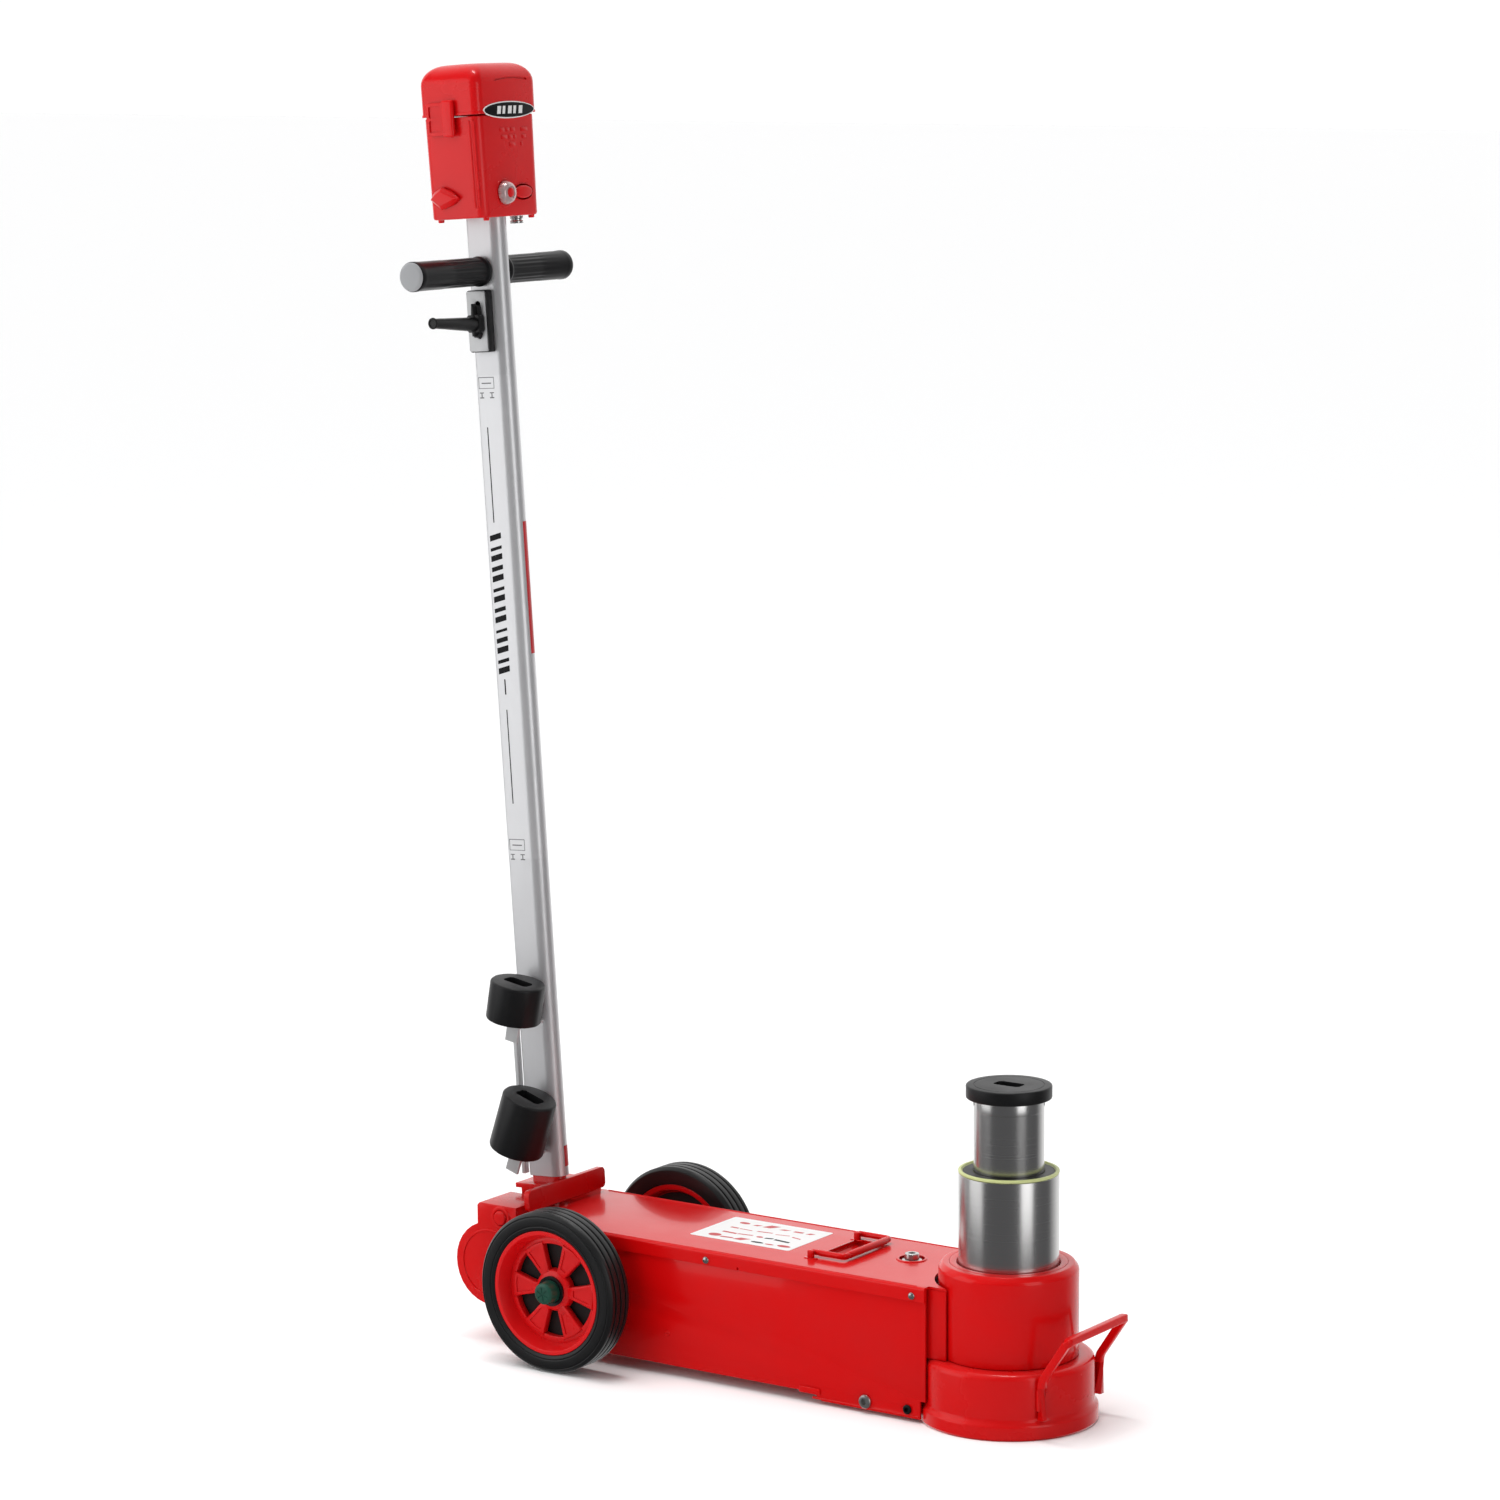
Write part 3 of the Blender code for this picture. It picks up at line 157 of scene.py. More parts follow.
def makeDustGroup():
    # a thin veil of dust on faces that look up
    group, start, end = newGroup("settledDust",
                                 [("Amount", "NodeSocketFloat", 0.1), ("Scale", "NodeSocketFloat", 60.0)],
                                 [("Dust", "NodeSocketFloat")])
    shape = group.nodes.new("ShaderNodeNewGeometry")
    split = group.nodes.new("ShaderNodeSeparateXYZ")
    coords = group.nodes.new("ShaderNodeTexCoord")
    noise = group.nodes.new("ShaderNodeTexNoise")
    noise.inputs["Detail"].default_value = 5.0
    upward = group.nodes.new("ShaderNodeMapRange")
    upward.inputs["From Min"].default_value = 0.2
    patch = group.nodes.new("ShaderNodeMath")
    patch.operation = "MULTIPLY"
    amount = group.nodes.new("ShaderNodeMath")
    amount.operation = "MULTIPLY"
    wire(group, (shape.outputs["Normal"], split.inputs["Vector"]),
         (split.outputs["Z"], upward.inputs["Value"]), (coords.outputs["Object"], noise.inputs["Vector"]),
         (start.outputs["Scale"], noise.inputs["Scale"]), (upward.outputs["Result"], patch.inputs[0]),
         (noise.outputs["Fac"], patch.inputs[1]), (patch.outputs["Value"], amount.inputs[0]),
         (start.outputs["Amount"], amount.inputs[1]), (amount.outputs["Value"], end.inputs["Dust"]))
    return group


grainGroup = makeGrainGroup()
brushGroup = makeBrushGroup()
ringGroup = makeRingGroup()
dustGroup = makeDustGroup()

# colour and shade = the two tones it clouds between, rough = low and high,
# fine, brush or rings = what makes the small relief, depth = how deep that is in metres
finishShared = {"fine": 600.0, "broad": 16.0, "coatRough": 0.06, "dustColour": (0.45, 0.43, 0.41),
                "clouds": (0.3, 0.7)}
finishes = {"redEnamel": dict(colour=(0.620, 0.0025, 0.0030), shade=(0.560, 0.0020, 0.0025),
                              rough=(0.16, 0.26), metal=0.0, coat=0.24, specular=0.18, fine=260.0,
                              depth=0.00003, dust=0.03),
            "redCast": dict(colour=(0.610, 0.0025, 0.0030), shade=(0.550, 0.0020, 0.0025), rough=(0.20, 0.34),
                            metal=0.0, coat=0.22, specular=0.20, fine=180.0, depth=0.00007, dust=0.03),
            "redMoulded": dict(colour=(0.630, 0.0035, 0.0055), shade=(0.590, 0.0030, 0.0045),
                               rough=(0.24, 0.34), metal=0.0, coat=0.20, specular=0.26, fine=700.0,
                               depth=0.00002, dust=0.02),
            "satinAluminium": dict(colour=(0.690, 0.692, 0.705), shade=(0.630, 0.632, 0.645),
                                   rough=(0.32, 0.42), metal=0.65, specular=0.5, brush=(1400.0, 1400.0, 9.0),
                                   depth=0.00001, dust=0.0),
            "printFilm": dict(colour=(0.700, 0.702, 0.715), shade=(0.650, 0.652, 0.665), rough=(0.30, 0.38),
                              metal=0.60, specular=0.5, brush=(1400.0, 1400.0, 9.0), depth=0.000006,
                              dust=0.0),
            "groundSteel": dict(colour=(0.640, 0.635, 0.630), shade=(0.580, 0.575, 0.570), rough=(0.20, 0.28),
                                metal=1.0, specular=0.5, rings=2600.0, depth=0.0000015, dust=0.0),
            "blackSteel": dict(colour=(0.0065, 0.0065, 0.0070), shade=(0.012, 0.012, 0.013),
                               rough=(0.36, 0.52), metal=0.35, specular=0.5, fine=900.0, depth=0.00003,
                               dust=0.02),
            "tyreRubber": dict(colour=(0.0050, 0.0052, 0.0056), shade=(0.009, 0.0092, 0.0098),
                               rough=(0.30, 0.46), metal=0.0, specular=0.45, fine=520.0, depth=0.00005,
                               dust=0.03),
            "gripRubber": dict(colour=(0.0040, 0.0040, 0.0048), shade=(0.006, 0.006, 0.007),
                               rough=(0.28, 0.40), metal=0.0, specular=0.32, fine=800.0, depth=0.00003,
                               dust=0.0),
            "blackNylon": dict(colour=(0.0055, 0.0055, 0.0060), shade=(0.010, 0.010, 0.011),
                               rough=(0.34, 0.48), metal=0.0, specular=0.5, fine=900.0, depth=0.00003,
                               dust=0.0),
            "greyNylon": dict(colour=(0.330, 0.335, 0.345), shade=(0.270, 0.275, 0.285), rough=(0.38, 0.50),
                              metal=0.0, specular=0.5, fine=900.0, depth=0.00002, dust=0.0),
            "greenNylon": dict(colour=(0.010, 0.075, 0.048), shade=(0.007, 0.050, 0.032), rough=(0.28, 0.40),
                               metal=0.0, specular=0.5, fine=700.0, depth=0.00003, dust=0.0),
            "wiperYellow": dict(colour=(0.560, 0.600, 0.270), shade=(0.480, 0.520, 0.210), rough=(0.36, 0.46),
                                metal=0.0, specular=0.5, fine=900.0, depth=0.00002, dust=0.0),
            "brightZinc": dict(colour=(0.720, 0.715, 0.700), shade=(0.580, 0.575, 0.565), rough=(0.22, 0.36),
                               metal=1.0, specular=0.5, fine=600.0, depth=0.00002, dust=0.0),
            "paleBracket": dict(colour=(0.560, 0.565, 0.570), shade=(0.470, 0.475, 0.480), rough=(0.38, 0.50),
                                metal=0.45, specular=0.5, fine=500.0, depth=0.00003, dust=0.02),
            "rawCasting": dict(colour=(0.110, 0.108, 0.105), shade=(0.070, 0.068, 0.066), rough=(0.55, 0.75),
                               metal=0.6, specular=0.5, fine=320.0, depth=0.00012, dust=0.05),
            # near-black finish used only as painted shade behind the wheel's spoke openings
            "paintedShadeBlack": dict(colour=(0.012, 0.010, 0.010), shade=(0.020, 0.016, 0.016), rough=(0.50, 0.65),
                               metal=0.0, specular=0.3, fine=500.0, depth=0.00003, dust=0.0),
            # silvery knob finish; its pale pink tint is a painted highlight and reflection of the red box
            "knobSilverPinkSheen": dict(colour=(0.620, 0.420, 0.420), shade=(0.720, 0.560, 0.560), rough=(0.18, 0.28),
                              metal=0.55, specular=0.5, fine=700.0, depth=0.00002, dust=0.0),
            "labelWhite": dict(colour=(0.780, 0.770, 0.765), shade=(0.700, 0.690, 0.685), rough=(0.30, 0.40),
                               metal=0.0, specular=0.4, fine=700.0, depth=0.00001, dust=0.0),
            "inkBlack": dict(colour=(0.006, 0.006, 0.007), shade=(0.010, 0.010, 0.011), rough=(0.44, 0.56),
                             metal=0.0, specular=0.15, fine=700.0, depth=0.00001, dust=0.0),
            "inkGrey": dict(colour=(0.120, 0.122, 0.126), shade=(0.170, 0.172, 0.176), rough=(0.34, 0.46),
                            metal=0.0, specular=0.4, fine=700.0, depth=0.00001, dust=0.0),
            "inkRed": dict(colour=(0.520, 0.012, 0.020), shade=(0.430, 0.008, 0.014), rough=(0.28, 0.40),
                           metal=0.0, specular=0.4, fine=700.0, depth=0.00001, dust=0.0)}


def makeFinish(name, values):
    material = bpy.data.materials.new(name)
    material.use_nodes = True
    tree = material.node_tree
    shader = tree.nodes["Principled BSDF"]
    shader.inputs["Metallic"].default_value = values["metal"]
    shader.inputs["Specular IOR Level"].default_value = values["specular"]
    shader.inputs["Coat Weight"].default_value = values.get("coat", 0.0)
    shader.inputs["Coat Roughness"].default_value = finishShared["coatRough"]
    grain = tree.nodes.new("ShaderNodeGroup")
    grain.node_tree = grainGroup
    grain.inputs["Fine Scale"].default_value = values.get("fine", finishShared["fine"])
    grain.inputs["Broad Scale"].default_value = finishShared["broad"]
    relief = grain.outputs["Fine"]
    if "brush" in values:
        brush = tree.nodes.new("ShaderNodeGroup")
        brush.node_tree = brushGroup
        brush.inputs["Squeeze"].default_value = values["brush"]
        relief = brush.outputs["Lines"]
    if "rings" in values:
        rings = tree.nodes.new("ShaderNodeGroup")
        rings.node_tree = ringGroup
        rings.inputs["Density"].default_value = values["rings"]
        relief = rings.outputs["Rings"]
    tint = tree.nodes.new("ShaderNodeMix")
    tint.data_type = "RGBA"
    tint.inputs["A"].default_value = (*values["colour"], 1.0)
    tint.inputs["B"].default_value = (*values["shade"], 1.0)
    dust = tree.nodes.new("ShaderNodeGroup")
    dust.node_tree = dustGroup
    dust.inputs["Amount"].default_value = values["dust"]
    veil = tree.nodes.new("ShaderNodeMix")
    veil.data_type = "RGBA"
    veil.inputs["B"].default_value = (*finishShared["dustColour"], 1.0)
    gloss = tree.nodes.new("ShaderNodeMapRange")
    gloss.inputs["From Min"].default_value, gloss.inputs["From Max"].default_value = finishShared["clouds"]
    gloss.inputs["To Min"].default_value, gloss.inputs["To Max"].default_value = values["rough"]
    bump = tree.nodes.new("ShaderNodeBump")
    bump.inputs["Distance"].default_value = values["depth"]
    bump.inputs["Strength"].default_value = 1.0
    machined = "brush" in values or "rings" in values
    wire(tree, (grain.outputs["Broad"], tint.inputs["Factor"]), (tint.outputs["Result"], veil.inputs["A"]),
         (dust.outputs["Dust"], veil.inputs["Factor"]), (veil.outputs["Result"], shader.inputs["Base Color"]),
         (relief if machined else grain.outputs["Broad"], gloss.inputs["Value"]),
         (gloss.outputs["Result"], shader.inputs["Roughness"]), (relief, bump.inputs["Height"]),
         (bump.outputs["Normal"], shader.inputs["Normal"]))
    return material


looks = {name: makeFinish(name, values) for name, values in finishes.items()}
print("finishes made:", len(looks))


# shaping tools
def settle(bm, name, look, body, stands=(), space=None, crease=32.0):
    # puts a finished bmesh in the scene as a piece of the jack
    if space is not None:
        bmesh.ops.transform(bm, matrix=space, verts=bm.verts)
    bmesh.ops.recalc_face_normals(bm, faces=bm.faces)
    mesh = bpy.data.meshes.new(name)
    bm.to_mesh(mesh)
    bm.free()
    mesh.shade_smooth()
    mesh.set_sharp_from_angle(angle=math.radians(crease))
    mesh.materials.append(looks[look])
    piece = bpy.data.objects.new(name, mesh)
    bpy.context.scene.collection.objects.link(piece)
    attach(piece, body)
    if stands:
        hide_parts(*stands)
    return piece


def softBevel(bm, edges, width, segments=3):
    bmesh.ops.bevel(bm, geom=list(edges), offset=width, offset_type="OFFSET", segments=segments, profile=0.5,
                    affect="EDGES", material=-1, clamp_overlap=True)


def turned(profile, sides=96, closed=True):
    # spins (radius, height, softness) points round z; softness rounds that ring
    bm = bmesh.new()
    points = [bm.verts.new((spot[0], 0.0, spot[1])) for spot in profile]
    lines = [bm.edges.new(pair) for pair in zip(points, points[1:])]
    if closed:
        lines.append(bm.edges.new((points[-1], points[0])))
    bmesh.ops.spin(bm, geom=points + lines, cent=(0, 0, 0), axis=(0, 0, 1), angle=math.tau, steps=sides,
                   use_merge=True, use_duplicate=False)
    bmesh.ops.remove_doubles(bm, verts=bm.verts, dist=1e-6)
    bmesh.ops.recalc_face_normals(bm, faces=bm.faces)
    for softness in sorted({spot[2] for spot in profile if len(spot) > 2}):
        marks = [spot for spot in profile if len(spot) > 2 and spot[2] == softness]
        rings = [edge for edge in bm.edges if any(
            all(abs(math.hypot(v.co.x, v.co.y) - mark[0]) < 2e-5 and abs(v.co.z - mark[1]) < 2e-5
                for v in edge.verts) for mark in marks)]
        softBevel(bm, rings, softness, 3)
    return bm


def rod(radius, low, high, sides=48, soft=0.0):
    # a round bar along z
    rims = [(radius, low, soft), (radius, high, soft)] if soft else [(radius, low), (radius, high)]
    return turned([(0.0, low), *rims, (0.0, high)], sides, closed=False)


def block(low, high, soft=0.0, segments=3, along=None):
    bm = bmesh.new()
    size = [high[i] - low[i] for i in range(3)]
    middle = [(high[i] + low[i]) / 2 for i in range(3)]
    bmesh.ops.create_cube(bm, size=1.0, matrix=Matrix.Translation(middle) @ Matrix.Diagonal((*size, 1.0)))
    if soft:
        edges = [e for e in bm.edges if along is None
                 or abs((e.verts[0].co - e.verts[1].co).normalized()[along]) > 0.9]
        softBevel(bm, edges, soft, segments)
    return bm


def roundRect(x0, y0, x1, y1, radius, steps=6):
    spots = []
    for cx, cy, start in ((x1 - radius, y1 - radius, 0), (x0 + radius, y1 - radius, 90),
                          (x0 + radius, y0 + radius, 180), (x1 - radius, y0 + radius, 270)):
        for i in range(steps + 1):
            turn = math.radians(start + 90 * i / steps)
            spots.append((cx + radius * math.cos(turn), cy + radius * math.sin(turn)))
    return spots


def rectangle(x0, y0, x1, y1):
    return [(x0, y0), (x1, y0), (x1, y1), (x0, y1)]


def clipped(x, y, cut):
    # a rectangle of half sizes x and y with its corners cut off
    return [(-x, -y + cut), (-x + cut, -y), (x - cut, -y), (x, -y + cut),
            (x, y - cut), (x - cut, y), (-x + cut, y), (-x, y - cut)]


def hexagon(radius):
    return [(radius * math.cos(math.radians(60 * i)), radius * math.sin(math.radians(60 * i)))
            for i in range(6)]


def ellipse(cx, cy, rx, ry, steps=64):
    return [(cx + rx * math.cos(math.tau * i / steps), cy + ry * math.sin(math.tau * i / steps))
            for i in range(steps)]


def plate(outline, low, high, soft=0.0, segments=2):
    # an outline in x and y pulled up from low to high, its rims rounded
    bm = bmesh.new()
    face = bm.faces.new([bm.verts.new((x, y, low)) for x, y in outline])
    pulled = bmesh.ops.extrude_face_region(bm, geom=[face])
    raised = [g for g in pulled["geom"] if isinstance(g, bmesh.types.BMVert)]
    bmesh.ops.translate(bm, vec=(0, 0, high - low), verts=raised)
    bmesh.ops.recalc_face_normals(bm, faces=bm.faces)
    if soft:
        rims = [e for e in bm.edges if abs(e.verts[0].co.z - e.verts[1].co.z) < 1e-7]
        softBevel(bm, rims, soft, segments)
    return bm


def lofted(levels, steps=8):
    # rounded rectangles (z, x0, x1, half width, corner radius) joined one above the other
    bm = bmesh.new()
    rings = []
    for z, x0, x1, half, radius in levels:
        ring = [bm.verts.new((x, y, z)) for x, y in roundRect(x0, -half, x1, half, radius, steps)]
        rings.append([bm.edges.new(pair) for pair in zip(ring, ring[1:] + ring[:1])])
        if z in (levels[0][0], levels[-1][0]):
            bm.faces.new(ring)
    for low, high in zip(rings, rings[1:]):
        bmesh.ops.bridge_loops(bm, edges=low + high)
    bmesh.ops.recalc_face_normals(bm, faces=bm.faces)
    return bm


def merged(target, *others):
    # adds other bmeshes to the first one
    for other in others:
        mesh = bpy.data.meshes.new("passing")
        other.to_mesh(mesh)
        other.free()
        target.from_mesh(mesh)
        bpy.data.meshes.remove(mesh)
    return target


def moved(bm, matrix):
    bmesh.ops.transform(bm, matrix=matrix, verts=bm.verts)
    return bm


def asObject(bm):
    mesh = bpy.data.meshes.new("passing")
    bmesh.ops.recalc_face_normals(bm, faces=bm.faces)
    bm.to_mesh(mesh)
    bm.free()
    piece = bpy.data.objects.new("passing", mesh)
    bpy.context.scene.collection.objects.link(piece)
    return piece


def carved(bm, *cutters, operation="DIFFERENCE"):
    # cuts the other bmeshes out of the first (or joins them) and gives the result
    target = asObject(bm)
    tools = [asObject(cutter) for cutter in cutters]
    for tool in tools:
        change = target.modifiers.new("cut", "BOOLEAN")
        change.operation = operation
        change.solver = "EXACT"
        change.object = tool
    bpy.context.view_layer.update()
    solid = target.evaluated_get(bpy.context.evaluated_depsgraph_get())
    mesh = bpy.data.meshes.new_from_object(solid)
    result = bmesh.new()
    result.from_mesh(mesh)
    bmesh.ops.remove_doubles(result, verts=result.verts, dist=2e-6)
    for piece in [target] + tools:
        bpy.data.objects.remove(piece, do_unlink=True)
    return result


def softened(node, width, limit=40.0, segments=2):
    # a merged copy of a CAD node with its hard edges rounded
    bm = bmesh.new()
    bm.from_mesh(nodes[node].data)
    bmesh.ops.remove_doubles(bm, verts=bm.verts, dist=5e-6)
    bmesh.ops.dissolve_limit(bm, angle_limit=math.radians(1.5), verts=bm.verts, edges=bm.edges)
    edges = [e for e in bm.edges if len(e.link_faces) == 2 and e.calc_face_angle() > math.radians(limit)]
    softBevel(bm, edges, width, segments)
    return bm


def bentBar(points, bends, radius, squareness=0, sides=20):
    # a bar through the points with rounded bends; squareness > 0 gives a soft square section
    path = [Vector(p) for p in points]
    line = [path[0]]
    for before, corner, after, bend in zip(path, path[1:], path[2:], bends):
        back = (before - corner).normalized()
        ahead = (after - corner).normalized()
        start, end = corner + back * bend, corner + ahead * bend
        for i in range(9):
            t = i / 8
            line.append(start * (1 - t) ** 2 + corner * 2 * t * (1 - t) + end * t * t)
    line.append(path[-1])
    curve = bpy.data.curves.new("bar", "CURVE")
    curve.dimensions = "3D"
    curve.twist_mode = "Z_UP" if squareness else "MINIMUM"
    spline = curve.splines.new("POLY")
    spline.points.add(len(line) - 1)
    for point, spot in zip(spline.points, line):
        point.co = (*spot, 1.0)
    section = None
    if squareness:
        profile = bpy.data.curves.new("section", "CURVE")
        profile.dimensions = "2D"
        rim = profile.splines.new("POLY")
        spots = roundRect(-radius, -radius, radius, radius, squareness, 4)
        rim.points.add(len(spots) - 1)
        for point, (x, y) in zip(rim.points, spots):
            point.co = (x, y, 0.0, 1.0)
        rim.use_cyclic_u = True
        section = bpy.data.objects.new("section", profile)
        bpy.context.scene.collection.objects.link(section)
        curve.bevel_mode = "OBJECT"
        curve.bevel_object = section
    else:
        curve.bevel_depth = radius
        curve.bevel_resolution = sides // 4
    curve.use_fill_caps = True
    guide = bpy.data.objects.new("bar", curve)
    bpy.context.scene.collection.objects.link(guide)
    bpy.context.view_layer.update()
    mesh = bpy.data.meshes.new_from_object(guide.evaluated_get(bpy.context.evaluated_depsgraph_get()))
    bm = bmesh.new()
    bm.from_mesh(mesh)
    bmesh.ops.remove_doubles(bm, verts=bm.verts, dist=2e-6)
    bpy.data.objects.remove(guide, do_unlink=True)
    if section:
        bpy.data.objects.remove(section, do_unlink=True)
    return bm


# base and cylinder
baseSet = {"tierRadius": 0.0860, "tierTop": 0.0660, "flangeRadius": 0.0900, "flangeTop": 0.0150,
           "footRadius": 0.0643, "floor": 0.0100, "blockX": (-0.185, -0.070), "blockHalf": 0.0695,
           "blockZ": (0.004, 0.0242)}


def makeBase(s):
    tier = turned([(s["footRadius"], s["tierTop"], 0.0012), (s["tierRadius"], s["tierTop"], 0.0065),
                   (s["tierRadius"], s["flangeTop"] + 0.0042, 0.0022),
                   (s["flangeRadius"] - 0.0003, s["flangeTop"] - 0.0005, 0.0014), (s["flangeRadius"], 0.0024),
                   (s["flangeRadius"] - 0.0020, 0.0), (0.0, 0.0), (0.0, s["floor"]),
                   (s["footRadius"], s["floor"])], 128)
    foot = block((s["blockX"][0], -s["blockHalf"], s["blockZ"][0]),
                 (s["blockX"][1], s["blockHalf"], s["blockZ"][1]), 0.003)
    settle(carved(tier, foot, operation="UNION"), "baseTier", "redCast", "base", ["base_casting"])


cylinderSet = {"radius": 0.070, "top": (0.0655, 0.159), "shoulder": 0.1535, "seat": 0.0663, "foot": 0.0640,
               "floor": (0.0103, 0.0165), "bore": 0.0515, "gland": 0.0590, "ledge": 0.147}


def makeCylinder(s):
    body = turned([(s["top"][0], s["top"][1], 0.0006), (s["radius"], s["shoulder"], 0.0022),
                   (s["radius"], s["seat"], 0.0010), (s["foot"], s["seat"]), (s["foot"], s["floor"][0]),
                   (0.0, s["floor"][0]), (0.0, s["floor"][1]), (s["bore"], s["floor"][1]),
                   (s["bore"], s["ledge"]), (s["gland"], s["ledge"]), (s["gland"], s["top"][1], 0.0006)], 128)
    settle(body, "liftCylinder", "redEnamel", "base", ["cylinder"])
    ring = turned([(0.0588, 0.1591, 0.0003), (0.0588, 0.1473), (0.0503, 0.1473), (0.0503, 0.1548, 0.0004),
                   (0.0522, 0.1588, 0.0006)], 128)
    settle(ring, "glandRing", "redEnamel", "base", ["gland_ring"])


makeBase(baseSet)
makeCylinder(cylinderSet)

bailSet = {"half": 0.0550, "footX": 0.0721, "footZ": 0.0215, "kneeZ": 0.0600, "topX": 0.1012, "topZ": 0.1038,
           "bar": 0.0042}


def makeFrontBail(s):
    y = s["half"]
    path = [(s["footX"], -y, s["footZ"]), (s["footX"], -y, s["kneeZ"]), (s["topX"], -y, s["topZ"]),
            (s["topX"], y, s["topZ"]), (s["footX"], y, s["kneeZ"]), (s["footX"], y, s["footZ"])]
    bar = bentBar(path, [0.006, 0.004, 0.004, 0.006], s["bar"] * 0.94, 0.0016)
    settle(bar, "frontBail", "redEnamel", "base", ["front_bail"])
    for side in (-1, 1):  # weld beads where the legs meet the tier
        bead = turned([(0.0, 0.0), (0.0030, 0.0), (0.0030, 0.020, 0.0012), (0.0, 0.0225)], 24, closed=False)
        settle(bead, "bailWeld_" + ("near" if side < 0 else "far"), "redCast", "base",
               space=at(s["footX"] - 0.0030, side * (y + 0.0002), 0.030))


makeFrontBail(bailSet)


# rams and saddle
# radius, bottom and top of each ram, the hole that takes the saddle's stem, and where its screws sit
ramSet = {"outer": (0.050, 0.1075, 0.2492), "bore": 0.0365, "inner": (0.0350, 0.1897, 0.3244),
          "stem": (0.0123, 0.3024), "screws": (-140.0, 24.0)}


def makeRams(s):
    radius, bottom, top = s["outer"]
    outer = turned([(radius, top, 0.0008), (radius, 0.1195), (radius - 0.0025, 0.1195),
                    (radius - 0.0025, 0.1125), (radius, 0.1125), (radius, bottom), (0.0, bottom),
                    (0.0, bottom + 0.0100), (s["bore"], bottom + 0.0100), (s["bore"], top, 0.0006)], 160)
    settle(outer, "outerRam", "groundSteel", "outer_ram", ["ram_outer"])
    wiper = turned([(0.0502, 0.2520, 0.0006), (0.0502, 0.2502, 0.0004), (0.0498, 0.2496), (0.0353, 0.2496),
                    (0.0353, 0.2504), (0.0462, 0.2504, 0.0004), (0.0472, 0.2525, 0.0006)], 160)
    settle(wiper, "wiperRim", "wiperYellow", "outer_ram", ["wiper_ring"])
    collar = turned([(0.0354, 0.2505), (0.0460, 0.2505, 0.0002), (0.0440, 0.2512, 0.0003),
                     (0.0362, 0.2512, 0.0004)], 128)
    settle(collar, "wiperSeat", "blackSteel", "outer_ram")
    radius, bottom, top = s["inner"]
    stem, stemFloor = s["stem"]
    inner = turned([(radius, top, 0.0009), (radius, 0.3134), (0.03485, 0.3132), (0.03485, 0.3128),
                    (radius, 0.3126), (radius, bottom + 0.0010), (radius - 0.0010, bottom), (0.0, bottom),
                    (0.0, stemFloor), (stem, stemFloor), (stem, top)], 160)
    settle(inner, "innerRam", "groundSteel", "inner_ram", ["ram_inner"])
    for index, angle in enumerate(s["screws"]):  # the two screws that keep the saddle on
        screw = turned([(0.0, 0.0), (0.0026, 0.0), (0.0026, 0.0030, 0.0006), (0.0012, 0.0030),
                        (0.0012, 0.0018), (0.0, 0.0018)], 32, closed=False)
        settle(screw, "saddleScrew_%d" % index, "blackSteel", "inner_ram",
               space=Matrix.Rotation(math.radians(angle), 4, "Z") @ at(0.0322, 0, 0.3195) @ facing["front"])


saddleSet = {"radius": 0.0427, "under": 0.3247, "top": 0.338, "stem": (0.012, 0.3047),
             "socket": (0.0150, 0.0080, 0.0028), "floor": 0.330, "groove": (0.0345, 0.0352)}


def makeSaddle(s):
    stem, stemEnd = s["stem"]
    head = turned([(0.0, s["top"]), (s["radius"], s["top"], 0.0016), (s["radius"], s["under"], 0.0014),
                   (0.0200, 0.3250), (stem, s["under"]), (stem, stemEnd, 0.0008), (0.0, stemEnd)], 160,
                  closed=False)
    socket = plate(clipped(*s["socket"]), s["floor"], 0.350)
    low, high = s["groove"]
    groove = turned([(low, 0.3376), (low, 0.3400), (high, 0.3400), (high, 0.3376)], 128)
    settle(carved(head, socket, groove), "saddlePlate", "blackSteel", "saddle_head", ["saddle"])


makeRams(ramSet)
makeSaddle(saddleSet)
print("base, rams and saddle made")


# chassis
coverSet = {"front": -0.0300, "rear": -0.5560, "half": 0.0755, "top": 0.1400, "skirt": 0.0152,
            "sheet": 0.0025, "fold": 0.0030, "arc": 0.0735, "tray": (-0.2080, -0.1780, -0.0260, 0.0440),
            "filler": (-0.1215, 0.0120, 0.0130), "screws": (-0.3139, -0.0660, 0.130)}


